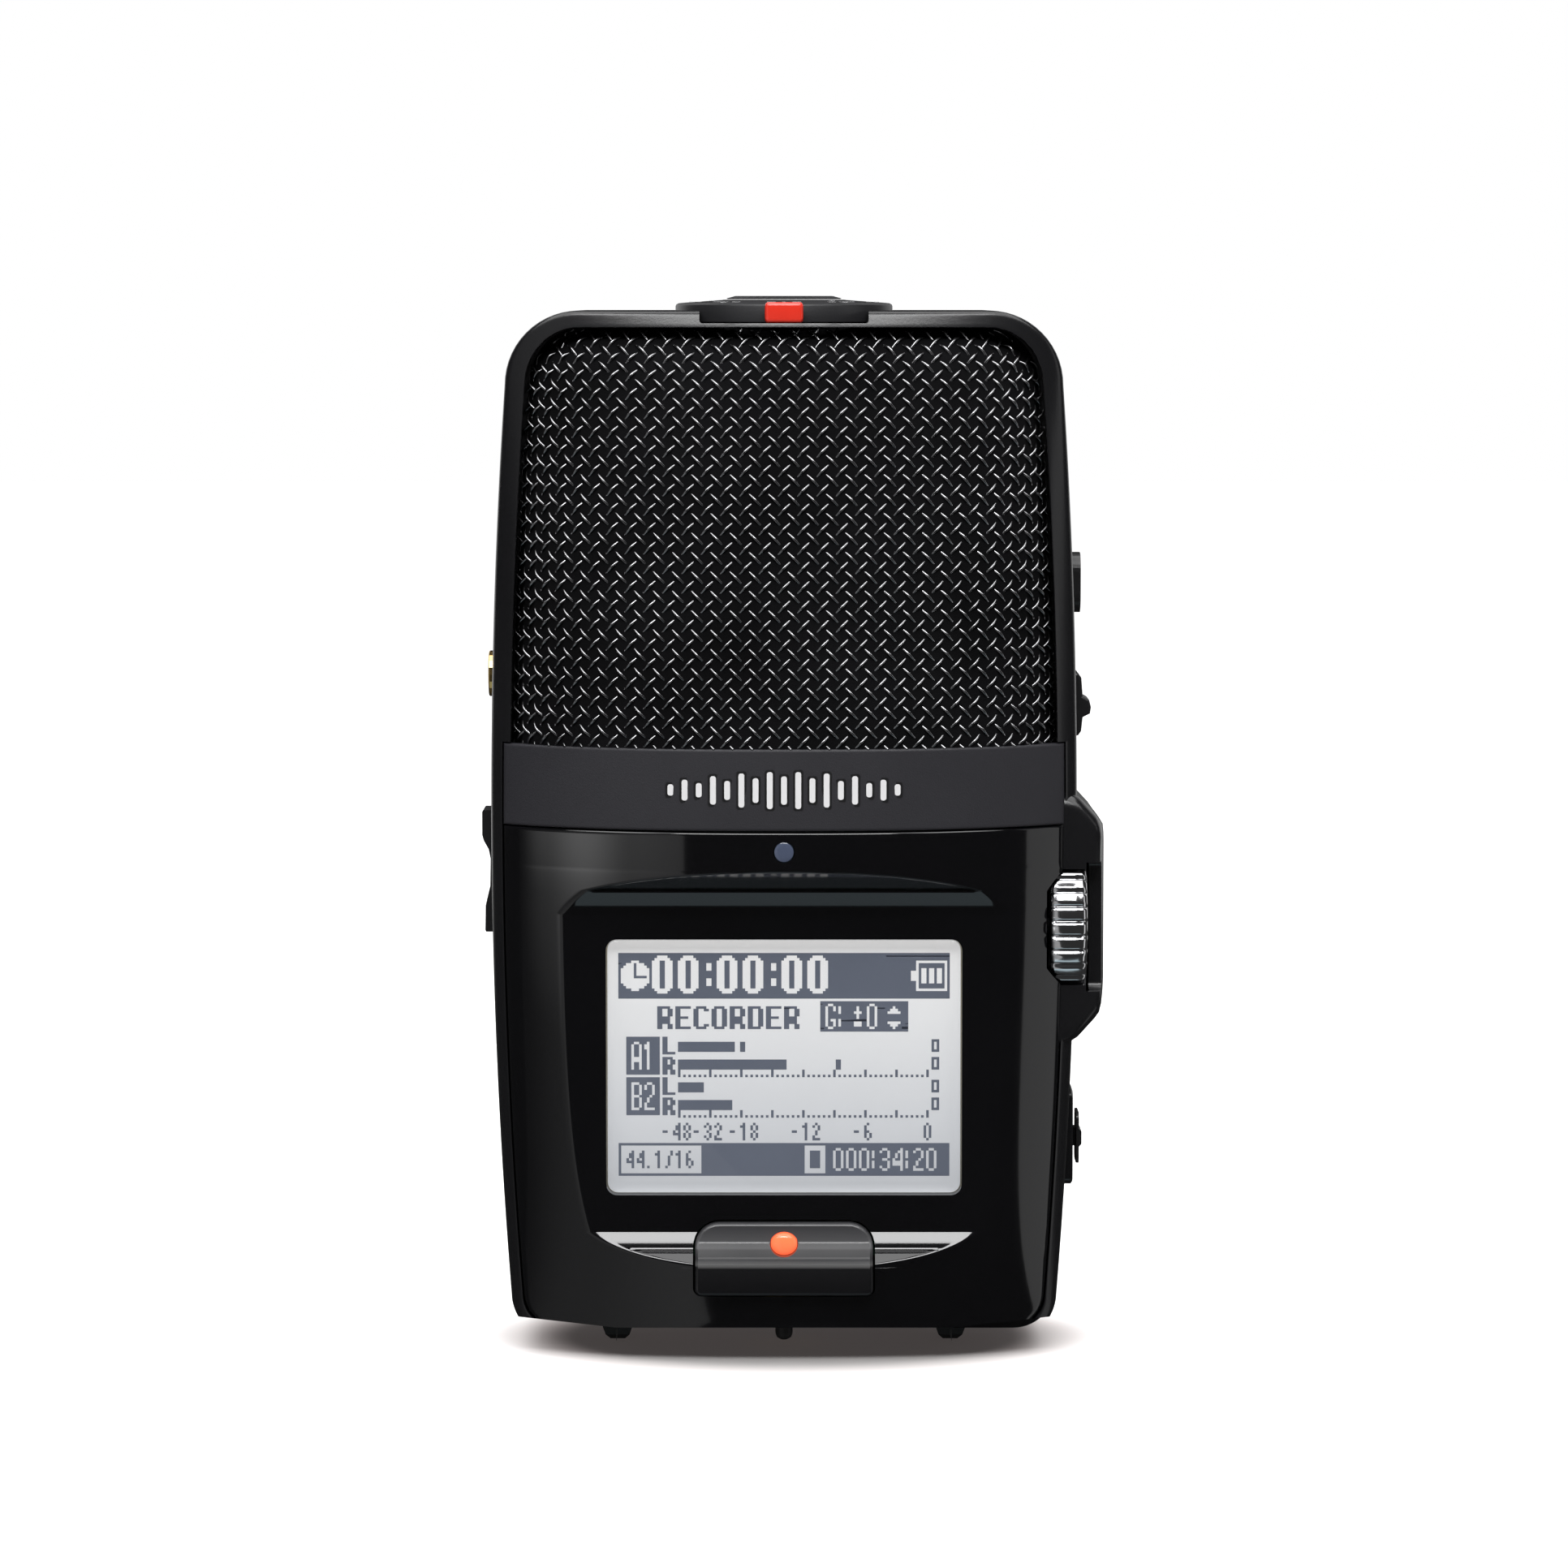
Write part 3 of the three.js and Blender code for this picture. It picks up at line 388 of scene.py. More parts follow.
def finish(
    name, color, roughness, grain=0.0, grain_size=0.3, vary=0.15,
    metallic=0.0, coat=0.0, smudge=0.08, shine=0.5,
):
    """Moulded or plated surface: fine grain in the bump, and slow drifts in its colour and roughness."""
    material, tree, shader = new_material(name)
    set_inputs(shader, {"Metallic": metallic, "Specular IOR Level": shine})
    set_inputs(shader, {"Coat Weight": coat, "Coat Roughness": 0.04})
    place_of = add_node(tree, "TexCoord")
    slow = add_node(tree, "TexNoise", {"Scale": 90, "Detail": 4})
    connect(tree, place_of, "Object", slow, "Vector")
    tint = add_node(tree, "ValToRGB")
    tint.color_ramp.elements[0].color = [c * (1 - vary) for c in color] + [1]
    tint.color_ramp.elements[1].color = [min(1, c * (1 + vary)) for c in color] + [1]
    connect(tree, slow, "Fac", tint, "Fac")
    connect(tree, tint, "Color", shader, "Base Color")
    smoothest, roughest = max(0.02, roughness - smudge), min(1, roughness + smudge)
    rough = add_node(tree, "MapRange", {"To Min": smoothest, "To Max": roughest})
    connect(tree, slow, "Fac", rough, "Value")
    connect(tree, rough, "Result", shader, "Roughness")
    if grain:
        fine = add_node(tree, "TexNoise", {"Scale": 1 / (grain_size * MM), "Detail": 2})
        connect(tree, place_of, "Object", fine, "Vector")
        bump = add_node(tree, "Bump", {"Strength": grain, "Distance": 0.05 * MM})
        connect(tree, fine, "Fac", bump, "Height")
        connect(tree, bump, "Normal", shader, "Normal")
    return material


def height_ramp(material, stops, socket="Base Color"):
    """Colour that changes with height: stops are (z in millimetres, colour)."""
    tree = material.node_tree
    place_of = add_node(tree, "TexCoord")
    split = add_node(tree, "SeparateXYZ")
    connect(tree, place_of, "Object", split, "Vector")
    low, high = stops[0][0], stops[-1][0]
    span = add_node(tree, "MapRange", {"From Min": low * MM, "From Max": high * MM})
    connect(tree, split, "Z", span, "Value")
    ramp = add_node(tree, "ValToRGB")
    elements = ramp.color_ramp.elements
    while len(elements) < len(stops):
        elements.new(0.5)
    for element, (z, color) in zip(elements, stops):
        element.position = (z - low) / (high - low)
        element.color = [*color, 1]
    connect(tree, span, "Result", ramp, "Fac")
    connect(tree, ramp, "Color", tree.nodes["Principled BSDF"], socket)
    return material


def glowing(name, color, strength, roughness):
    """Lit lamp or ink: a coated surface that also gives off its own colour."""
    material = finish(name, color, roughness, coat=0.4)
    shader = material.node_tree.nodes["Principled BSDF"]
    set_inputs(shader, {"Emission Color": [*color, 1], "Emission Strength": strength})
    return material


def display_light():
    """Backlit panel, brightest at its upper edge and greyer towards the bottom."""
    material = finish("display", (0.4, 0.4, 0.41), 0.5, vary=0.02)
    panel_share, backlight = 0.5, 0.46
    low, high = WINDOW_LOW.z, WINDOW_HIGH.z
    glow = [
        (low, (0.55, 0.57, 0.6)),
        (low + 8, (0.68, 0.7, 0.73)),
        (high - 6, (0.88, 0.89, 0.9)),
        (high, (0.92, 0.92, 0.92)),
    ]
    height_ramp(material, [(z, tuple(panel_share * value for value in color)) for z, color in glow])
    height_ramp(material, glow, "Emission Color")
    set_inputs(material.node_tree.nodes["Principled BSDF"], {"Emission Strength": backlight})
    return material


def smoked_plastic():
    """Record button's shell: black below, a paler upper face, and painted highlights at its ridge."""
    material = finish("smoke_button", (0.05, 0.05, 0.055), 0.22, vary=0.1, shine=0.4)
    # Painted highlights: the bright stops at 10.9 and 12.6 mm stand for lines of reflected light; the other
    # stops are the shell's tones.
    tones_and_painted_highlights = [
        (7.6, (0.006, 0.006, 0.007)),
        (10.6, (0.01, 0.01, 0.011)),
        (10.9, (0.1, 0.1, 0.1)),
        (11.5, (0.03, 0.03, 0.032)),
        (12.4, (0.05, 0.05, 0.052)),
        (12.6, (0.09, 0.09, 0.093)),
        (15.2, (0.03, 0.03, 0.033)),
    ]
    return height_ramp(material, tones_and_painted_highlights)


def clear_plastic():
    """Thin clear window: its outer faces reflect at glancing angles, and the rest is see-through."""
    material, tree, shader = new_material("clear_window")
    tree.nodes.remove(shader)
    through = add_node(tree, "BsdfTransparent")
    gloss = add_node(tree, "BsdfGlossy")
    place_of = add_node(tree, "TexCoord")
    smear = add_node(tree, "TexNoise", {"Scale": 60})
    connect(tree, place_of, "Object", smear, "Vector")
    rough = add_node(tree, "MapRange", {"To Min": 0.02, "To Max": 0.07})
    connect(tree, smear, "Fac", rough, "Value")
    connect(tree, rough, "Result", gloss, "Roughness")
    film = add_node(tree, "Fresnel", {"IOR": 1.45})
    facing = add_node(tree, "NewGeometry")
    outside = add_node(tree, "Math", {1: 0.5}, operation="LESS_THAN")
    connect(tree, facing, "Backfacing", outside, 0)
    outer_film = add_node(tree, "Math", operation="MULTIPLY")
    connect(tree, film, "Fac", outer_film, 0)
    connect(tree, outside, "Value", outer_film, 1)
    mix = add_node(tree, "MixShader")
    connect(tree, outer_film, "Value", mix, "Fac")
    connect(tree, through, "BSDF", mix, 1)
    connect(tree, gloss, "BSDF", mix, 2)
    connect(tree, mix, "Shader", tree.nodes["Material Output"], "Surface")
    return material


GLOSS = finish("gloss_black", (0.003, 0.003, 0.0036), 0.08, vary=0.2, coat=0.35, smudge=0.03)
FRAME = finish("frame_black", (0.008, 0.008, 0.009), 0.24, grain=0.12, grain_size=0.25, smudge=0.05)
BAND = finish("band_grey", (0.02, 0.0195, 0.0245), 0.55, grain=0.35, grain_size=0.16, vary=0.12)
WIRE = finish("grille_wire", (0.3, 0.3, 0.308), 0.24, metallic=1.0, vary=0.3)
FOAM = finish("foam", (0.004, 0.004, 0.0045), 0.95, grain=1.0, grain_size=0.35, vary=0.9, shine=0.06)
DARK_KEY = finish("key_black", (0.012, 0.012, 0.013), 0.33, grain=0.15, grain_size=0.2)
DIAL = finish("dial_black", (0.02, 0.02, 0.022), 0.38, grain=0.2, grain_size=0.18)
PRINT = finish("white_print", (0.75, 0.75, 0.76), 0.5, vary=0.04)
RED_TAB = finish("index_red", (0.75, 0.035, 0.018), 0.22, vary=0.08, coat=0.5)
CHROME = finish("chrome", (0.78, 0.78, 0.8), 0.12, metallic=1.0, vary=0.04, smudge=0.05)
GOLD = finish("gold", (0.8, 0.55, 0.2), 0.2, metallic=1.0, vary=0.06)
STEEL = finish("steel", (0.5, 0.5, 0.52), 0.32, metallic=1.0, vary=0.1, grain=0.1)
BRASS = finish("brass", (0.6, 0.45, 0.2), 0.35, metallic=1.0, vary=0.12)
RUBBER = finish("rubber", (0.012, 0.012, 0.012), 0.6, grain=0.3, grain_size=0.2)
BOARD = finish("board", (0.02, 0.09, 0.045), 0.45, grain=0.2, vary=0.25)
CELL = finish("cell_wrap", (0.05, 0.06, 0.075), 0.3, vary=0.1, coat=0.3)
IVORY = finish("ivory_plastic", (0.6, 0.57, 0.48), 0.5, grain=0.1)
PIXEL_INK = glowing("pixel_ink", (0.065, 0.075, 0.1), 0.75, 0.6)
RED_GLOW = glowing("red_lamp", (1.0, 0.13, 0.05), 1.1, 0.15)
LENS_BLUE = glowing("lamp_blue", (0.06, 0.075, 0.12), 0.12, 0.15)
DISPLAY = display_light()
CLEAR = clear_plastic()
SMOKE = smoked_plastic()

# ---------- case ----------


def outline_point(kind, at, side, top, bottom):
    """Point of the body's outline, inset by a different amount at the side, top and bottom."""
    if kind == "side":
        return at[0] * (side_at(at[1]) - side), at[1]
    if kind == "top":
        return at, TOP - top
    if kind == "bottom":
        return at, BOTTOM + bottom
    sign, turn = at
    if kind == "top_corner":
        z = TOP - TOP_CORNER
        x = side_at(z) - TOP_CORNER + (TOP_CORNER - side) * math.cos(turn)
        return sign * x, z + (TOP_CORNER - top) * math.sin(turn)
    z = BOTTOM + BOTTOM_CORNER
    x = side_at(z) - BOTTOM_CORNER + (BOTTOM_CORNER - side) * math.cos(turn)
    return sign * x, z - (BOTTOM_CORNER - bottom) * math.sin(turn)


def outline_stations():
    """Stations round the outline, anticlockwise from the bottom of the right side."""
    low, high = BOTTOM + BOTTOM_CORNER, TOP - TOP_CORNER
    step = BAND_HIGH + 0.15
    straight, corner = 41, 14
    side = list(np.linspace(low, step - 0.01, 34)) + list(np.linspace(step + 0.01, high, 24))
    turns = [math.pi / 2 * k / corner for k in range(1, corner)]
    top_x = side_at(high) - TOP_CORNER
    bottom_x = side_at(low) - BOTTOM_CORNER
    stations = [("side", (1, z)) for z in side]
    stations += [("top_corner", (1, t)) for t in turns]
    stations += [("top", x) for x in np.linspace(top_x, -top_x, straight)]
    stations += [("top_corner", (-1, t)) for t in reversed(turns)]
    stations += [("side", (-1, z)) for z in reversed(side)]
    stations += [("bottom_corner", (-1, t)) for t in turns]
    stations += [("bottom", x) for x in np.linspace(-bottom_x, bottom_x, straight)]
    stations += [("bottom_corner", (1, t)) for t in reversed(turns)]
    return stations, step


def frame_ring():
    """Side wall, arch, top and base in one sweep of a section round the outline."""
    stations, step = outline_stations()
    lip_shares = (0, 0.03, 0.08, 0.16, 0.3, 0.5, 0.75, 0.9, 0.97, 1)
    outer_round, inner_round = 0.45, 0.12
    seat = SIDE_DEPTH - SKIN
    wall = (2.6, RAIL_TOP + 0.05, 2.2)
    points = []
    for kind, at in stations:
        z_here = outline_point(kind, at, 0, 0, 0)[1]
        lip = (RAIL_SIDE, RAIL_TOP, LIP) if z_here > step else (LIP, LIP, LIP)
        section = []
        for side in (FRONT, REAR):
            walk = []
            for share in lip_shares:
                x, z = outline_point(kind, at, *(share * inset for inset in lip))
                inner_edge = (1 - share) * lip[0]
                fall = rounding(share * lip[0], outer_round)
                depth = depth_at(x, z) - fall - rounding(inner_edge, inner_round)
                walk.append((x, side * depth, z))
            for inset in (lip, wall):
                x, z = outline_point(kind, at, *inset)
                walk.append((x, side * seat, z))
            section += walk if side == FRONT else walk[::-1]
        points += section
    count = len(section)
    rows = len(stations)
    faces = grid_quads(rows, count, closed=True)
    last = (rows - 1) * count
    faces += [(last + j, last + (j + 1) % count, (j + 1) % count, j) for j in range(count)]
    return mesh_object("case_frame", points, faces, FRAME)


def wheel_guard():
    """Bump on the right side that shields the gain wheel, with a scoop beside the wheel."""
    outer = node_box("mid_frame")[1].x
    front, back = -12.3, 9.0
    # Each row is x, lowest z, highest z, and how far the front and the back are drawn in.
    levels = [
        (29.0, 33.0, 61.0, 0, 0),
        (31.0, 34.0, 60.6, 0, 0),
        (31.6, 34.4, 60.3, 0, 0.2),
        (33.4, 36.4, 58.4, 0, 1.0),
        (outer - 0.9, 37.0, 57.7, 0.5, 2.0),
        (outer - 0.5, 37.5, 57.2, 4.0, 2.6),
        (outer - 0.15, 38.0, 56.7, 8.5, 3.2),
        (outer, 38.6, 56.1, 10.5, 3.8),
    ]
    corner = 1.6
    sections = []
    for x, low, high, front_in, back_in in levels:
        y0, y1 = front + front_in, back - back_in
        sections.append((x, rounded_rect(y1 - y0, high - low, corner, (y0 + y1) / 2, (low + high) / 2)))
    guard = loft("guard", sections, "x", FRAME)
    scoop = [(node_box("gain_wheel")[1].x - 0.1, 0.9), (outer - 0.6, 0.9), (outer + 1, 1.0)]
    width, height, y, z = 7, 13.9, front - 0.7, centre_of("gain_wheel")[2]
    cut = loft("cut", [(x, rounded_rect(width, height, turn, y, z)) for x, turn in scoop], "x", FRAME)
    boolean(guard, [cut], "DIFFERENCE")
    return guard


def slider_pad():
    """Raised pad round the power slider."""
    width, low, high = 6.8, 17.2, 27.7
    sections = []
    for x, inset in ((29, 0), (31.3, 0), (31.5, 0.25)):
        outline = rounded_rect(width - 2 * inset, high - low - 2 * inset, 1, 0, (low + high) / 2)
        sections.append((x, outline))
    return loft("pad", sections, "x", FRAME)


def underside(x, y):
    """Height of the underside: flat near the middle and sloping up towards all four edges."""
    rises = [slope * max(0, abs(at) - flat) for at, flat, slope in zip((x, y), KEEL_FLAT, KEEL_SLOPE)]
    return BOTTOM + sum(rises)


def keel_wedges(material):
    """Space below the underside, as one block for each of its facets."""
    far, below = 40, -3
    x_spans, y_spans = [((-far, -flat), (-flat, flat), (flat, far)) for flat in KEEL_FLAT]
    sides = [(i, (i + 1) % 4, (i + 1) % 4 + 4, i + 4) for i in range(4)]
    faces = [(0, 1, 2, 3), (4, 5, 6), (4, 6, 7)] + sides
    wedges = []
    for x0, x1 in x_spans:
        for y0, y1 in y_spans:
            plan = ((x0, y0), (x1, y0), (x1, y1), (x0, y1))
            points = [(x, y, below) for x, y in plan] + [(x, y, underside(x, y)) for x, y in plan]
            wedges.append(mesh_object("cut", points, faces, material))
    return wedges


def side_hole(span, width, height, corner, z):
    """Cutter through a side wall over a span of x."""
    return prism("x", span, rounded_rect(width, height, corner, 0, z), FRAME)


def wheel_room(material):
    """Cutter for the space in which the gain wheel turns."""
    low, high = node_box("gain_wheel")
    _, y, z = centre_of("gain_wheel")
    outline = circle((high.z - low.z) / 2 + 0.4, y, z, 72)
    return prism("x", (low.x - 0.3, high.x + 0.3), outline, material)


def node_window(node, gap, corner, span):
    """Cutter for a hole that leaves a gap round a control on the side wall."""
    low, high = node_box(node)
    return side_hole(span, high.y - low.y + 2 * gap, high.z - low.z + 2 * gap, corner, centre_of(node)[2])


def case_frame():
    """Frame with its guard and pad, every opening in its walls, and its sloping underside."""
    ring = frame_ring()
    boolean(ring, [wheel_guard(), slider_pad()], "UNION")
    right, left, base = (25, 36), (-36, -25), (0, 9)
    dial_low, dial_high = node_box("mode_dial")
    well = (dial_high.x - dial_low.x) / 2 + 0.25
    plug = 2.65
    cutters = [
        wheel_room(FRAME),
        prism("z", (105, 116), circle(well, 0, 0, 96), FRAME),
        prism("y", (-20, -5), rounded_rect(18, 6, 0.3, 0, dial_low.z + 3, 2), FRAME),
        node_window("menu_button", 0.15, 2.1, right),
        node_window("play_lever", 0.5, 0.6, right),
        side_hole(right, 2.6, 7, 0.4, centre_of("power_slider")[2]),
        node_window("card_cover", 0.15, 0.4, right),
        node_window("volume_rocker", 0.4, 0.4, left),
        node_window("usb_port", 0.15, 0.6, left),
        prism("x", left, circle(plug, 0, centre_of("headphone_ring")[2]), FRAME),
        prism("x", left, circle(plug, 0, centre_of("line_in_socket")[2]), FRAME),
        prism("z", base, circle(4.2, 0, centre_of("tripod_insert")[1]), FRAME),
        prism("z", base, circle(1.1, 0, centre_of("bottom_stub")[1], 24), FRAME),
    ]
    room = 0.3
    for foot in ("foot_left", "foot_right"):
        low, high = node_box(foot)
        outline = rounded_rect(high.x - low.x + room, high.y - low.y + room, 0.6, centre_of(foot)[0], 0)
        cutters.append(prism("z", (0, 3.1), outline, FRAME))
    boolean(ring, cutters + keel_wedges(FRAME), "DIFFERENCE")
    place(ring, "case", "frame_black", "mid_frame")


def record_outline(inset):
    """Outline of the record button: well rounded above, almost square below."""
    low, high = node_box("record_button")
    x, bottom, top = high.x - inset, low.z + inset, high.z - inset
    above, below = 2.6, 0.7
    outline = []
    corners = ((above, x, top), (above, -x, top), (below, -x, bottom), (below, x, bottom))
    for first, (corner, u, v) in enumerate(corners):
        radius = max(0.05, corner - inset)
        inwards = math.copysign(radius, v - centre_of("record_button")[2])
        centre = (math.copysign(abs(u) - radius, u), v - inwards)
        for k in range(9):
            angle = (first + k / 8) * math.pi / 2
            outline.append((centre[0] + radius * math.cos(angle), centre[1] + radius * math.sin(angle)))
    return outline


def dish_edge(z):
    """Half the width of the recess at a height: where its section meets the bowed face."""
    share = np.clip((dish_at(z) - SIDE_DEPTH) / bow_at(z), 0, 1)
    return side_at(z) * (1 - share ** (1 / SECTION_ROUND)) ** (1 / SECTION_POWER)


def cover_surface(x, z):
    """Face of the front cover, with the recess cut into the bowed body."""
    face = blended_min(depth_at(x, z), dish_at(z), 0.22)
    slot = np.exp(-(((z - CREASE_Z - 0.1) / 0.11) ** 2)) * 0.28
    inlay = np.exp(-(((z - INLAY_Z) / 0.13) ** 2)) * 0.2 * (np.abs(x) < 18.6)
    in_dish = depth_at(x, z) > dish_at(z) + 0.25
    return face - np.where(in_dish, slot + inlay, 0)


def arc_rows():
    """Heights at which the arcs of the recess pass evenly spaced distances from the middle."""
    rows = []
    for low, high in ((CREASE_Z, CREASE_Z + 3), (LIP_Z - 6, LIP_Z)):
        z = np.linspace(low, high, 2000)
        edge = dish_edge(z)
        order = np.argsort(edge)
        rows.append(np.interp(np.linspace(0.3, edge.max(), 40), edge[order], z[order]))
    return np.concatenate(rows)


def pane(inset, corner=1.1):
    """Outline of the display window, pulled in all round."""
    width, height = WINDOW_HIGH.x - WINDOW_LOW.x, WINDOW_HIGH.z - WINDOW_LOW.z
    return rounded_rect(width - 2 * inset, height - 2 * inset, corner, 0, WINDOW_Z)


def front_cover():
    """Gloss cover whose rows of points follow the creases and arcs of its recess."""
    creases = (LIP_Z, INLAY_Z, STRIP_Z, CREASE_Z, CREASE_Z + 0.2)
    zs = np.sort(np.concatenate([spread(COVER_LOW, COVER_TOP, 0.4, creases), arc_rows()]))
    zs = thinned(zs, 0.012)
    widths = half_width_at(zs, *COVER_INSET)
    edge = np.maximum(dish_edge(zs), 1.5)
    inside = 1 - (1 - np.linspace(0, 1, 25)) ** 1.6
    outside = (1 - np.cos(np.linspace(0, math.pi, 31))) / 2
    beyond = edge[:, None] + (widths - edge)[:, None] * outside[1:]
    right = np.concatenate([edge[:, None] * inside, beyond], axis=1)
    x = np.concatenate([-right[:, :0:-1], right], axis=1)
    z = np.repeat(zs[:, None], x.shape[1], axis=1)
    depth = cover_surface(x, z)
    outer = depth - rounding(edge_distance(x, zs, widths), 0.3)
    cover = shell("front_cover_skin", x, z, outer, depth - SKIN, FRONT, GLOSS)
    openings = (pane(-0.08, 1.15), record_outline(-0.22), circle(1.12, 0, LENS_Z))
    cutters = [prism("y", FRONT_CUT, outline, GLOSS) for outline in openings]
    cutters += [wheel_room(GLOSS)] + keel_wedges(GLOSS)
    boolean(cover, cutters, "DIFFERENCE")
    place(cover, "case", "gloss_black", "front_cover")


def band(side, name, node):
    """Matte strip between the cover and the grille."""
    strip = panel(name, spread(BAND_LOW, BAND_HIGH, 0.8), COVER_INSET, depth_at, SKIN, side, BAND, rim=0.28)
    place(strip, "case", "band_grey", node)


def level_mark():
    """Generic row of sound-level bars on the band, where such a recorder carries a printed mark."""
    left_half = (1.2, 2.2, 1.5, 3.0, 2.0, 3.6, 2.6, 3.9)
    heights = (*left_half, 3.0, *reversed(left_half))
    pitch, width, thickness = 1.5, 0.62, 0.5
    middle = (BAND_LOW + BAND_HIGH) / 2
    bars = []
    for i, height in enumerate(heights):
        x = (i - (len(heights) - 1) / 2) * pitch
        # Each white bar sits on a slightly larger dark plate: painted shade standing for the recess round the
        # mark.
        for material, grow, proud in ((DARK_KEY, 0.22, 0.02), (PRINT, 0, 0.05)):
            face = -depth_at(x, middle) - proud
            outline = rounded_rect(width + 2 * grow, height + 2 * grow, 0.25, x, middle, 4)
            bars.append(prism("y", (face, face + thickness), outline, material, "bar"))
    place(merged("level_mark", bars), "case", "band_grey")


# ---------- grilles ----------

# Pitch and radius of the wires, and how far each one rises over the next.
WEAVE, WIRE_RADIUS, LIFT = 1.44, 0.17, 0.27
# How much closer the wires lie at the edges, and how far past them the formula holds.
CROWDING, CROWD_LIMIT = 0.061, 1.14
FOAM_RISE = 0.08
GRILLE_INSET = (RAIL_SIDE + 0.12, RAIL_TOP + 0.12, 0)
GRILLE_LOW = BAND_HIGH + 0.1


def grille_depth(x, z):
    """Bowed middle surface of the weave, which rolls down into the frame at its sides and top."""
    width = half_width_at(z, *GRILLE_INSET)
    to_side = width - np.abs(x)
    to_top = TOP - GRILLE_INSET[1] - z
    corner, sunk, roll = 5.0, 0.3, 0.75
    a = np.clip(corner - to_side, 0, corner)
    b = np.clip(corner - to_top, 0, corner)
    edge = corner - np.minimum(np.sqrt(a**2 + b**2), corner)
    return depth_at(x, z) - sunk - roll * rounding(edge, corner)


def weave_normal(x, z):
    """Outward direction of the weave's surface, for the front side."""
    step = 0.05
    dx = (grille_depth(x + step, z) - grille_depth(x - step, z)) / (2 * step)
    dz = (grille_depth(x, z + step) - grille_depth(x, z - step)) / (2 * step)
    normal = np.stack([dx, np.ones_like(dx), dz], axis=-1)
    return -normal / np.linalg.norm(normal, axis=-1, keepdims=True)


def crowd(at, reach):
    """Wires lie closer together towards an edge, where the weave curls back into the frame.

    Past CROWD_LIMIT times the reach a wire is outside the grille, and the formula no longer holds.
    """
    share = np.minimum(np.abs(at) / reach, CROWD_LIMIT)
    crowded = at * (1 - CROWDING * share**5)
    return np.where(np.abs(at) > CROWD_LIMIT * reach, np.sign(at) * 2 * reach, crowded)


def wire_runs():
    """Centre lines of both sets of diagonal wires, over and under each other, clipped to the grille."""
    reach, sampling, wires_each_way = 80, WEAVE / 5, 60
    middle = (GRILLE_LOW + TOP) / 2
    travel = np.arange(-reach, reach, sampling)
    runs = []
    for k in range(-wires_each_way, wires_each_way + 1):
        for lean in (1, -1):
            offset = k * WEAVE
            rise = (travel + offset) / math.sqrt(2)
            z = middle + np.where(rise > 0, crowd(rise, TOP - middle), rise)
            width = half_width_at(np.clip(z, BOTTOM, TOP), *GRILLE_INSET)
            x = crowd(lean * (travel - offset) / math.sqrt(2), width)
            inside = (z > GRILLE_LOW - 0.3) & (z < TOP - GRILLE_INSET[1]) & (np.abs(x) < width - 0.05)
            where = np.flatnonzero(inside)
            if len(where) < 3:
                continue
            x, z, t = x[where], z[where], travel[where]
            flip = 1 if k % 2 == 0 else -1
            lift = lean * flip * LIFT * np.cos(math.pi * t / WEAVE)
            normal = weave_normal(x, z)
            base = np.stack([x, -grille_depth(x, z), z], axis=-1)
            runs.append((base + normal * lift[:, None], normal))
    return runs


def tube(line, normal, radius, ring, start):
    """Points and faces of a tube along a line, with closed ends."""
    tangent = np.gradient(line, axis=0)
    tangent /= np.linalg.norm(tangent, axis=1, keepdims=True)
    across = np.cross(tangent, normal)
    across /= np.linalg.norm(across, axis=1, keepdims=True)
    up = np.cross(across, tangent)
    angles = (FULL_TURN * np.arange(ring) / ring)[None, :, None]
    around = np.cos(angles) * up[:, None, :] + np.sin(angles) * across[:, None, :]
    points = (line[:, None, :] + radius * around).reshape(-1, 3)
    faces = grid_quads(len(line), ring, start, closed=True)
    last = start + (len(line) - 1) * ring
    faces += [tuple(range(start, start + ring)), tuple(range(last, last + ring))]
    return points, faces


def grille(side, name, node):
    """Woven wire sheet at the front, or its mirror image at the rear."""
    points, faces, start = [], [], 0
    for line, normal in wire_runs():
        tube_points, tube_faces = tube(line, normal, WIRE_RADIUS, 5, start)
        points.append(tube_points)
        faces += tube_faces
        start += len(tube_points)
    points = np.concatenate(points)
    points[:, 1] *= -side
    mesh = mesh_object(name, points, faces, WIRE, 80)
    place(mesh, "case", "grille_wire", node)


def foam(side, name, node):
    """Foam behind the weave, which reaches the frame all round so that no light comes past it."""
    zs = spread(GRILLE_LOW - 0.4, TOP - RAIL_TOP + 0.3, 1.2)
    inset = (RAIL_SIDE - 0.3, RAIL_TOP - 0.35, 0)

    def surface(x, z):
        return grille_depth(x, z) + FOAM_RISE

    liner = panel(name, zs, inset, surface, 2, side, FOAM, step=1.2)
    place(liner, "case", "foam", node)


# ---------- display ----------

# Characters 4 dots wide and 7 tall: one hexadecimal digit for each row, from the top.
GLYPHS = {
    "0": "6999996", "1": "4C44444", "2": "691248F", "3": "6916196", "4": "1359F11", "6": "688E996",
    "8": "6996996", "A": "6999F99", "B": "E99E99E", "C": "6988896", "D": "E99999E", "E": "F88E88F",
    "G": "6988B96", "L": "888888F", "O": "6999996", "R": "E99EA99", ":": "0440440", "-": "000E000",
    ".": "0000004", "/": "1122448", "+": "04E40E0", " ": "0000000",
}
SLIM = ":. "
LCD_COLUMNS, LCD_ROWS = 128, 88
PIXEL_WIDE, PIXEL_TALL = 35.4 / LCD_COLUMNS, 24 / LCD_ROWS
BIG_ZERO = ["..####..", ".######."] + ["###..###"] * 11 + [".######.", "..####.."]


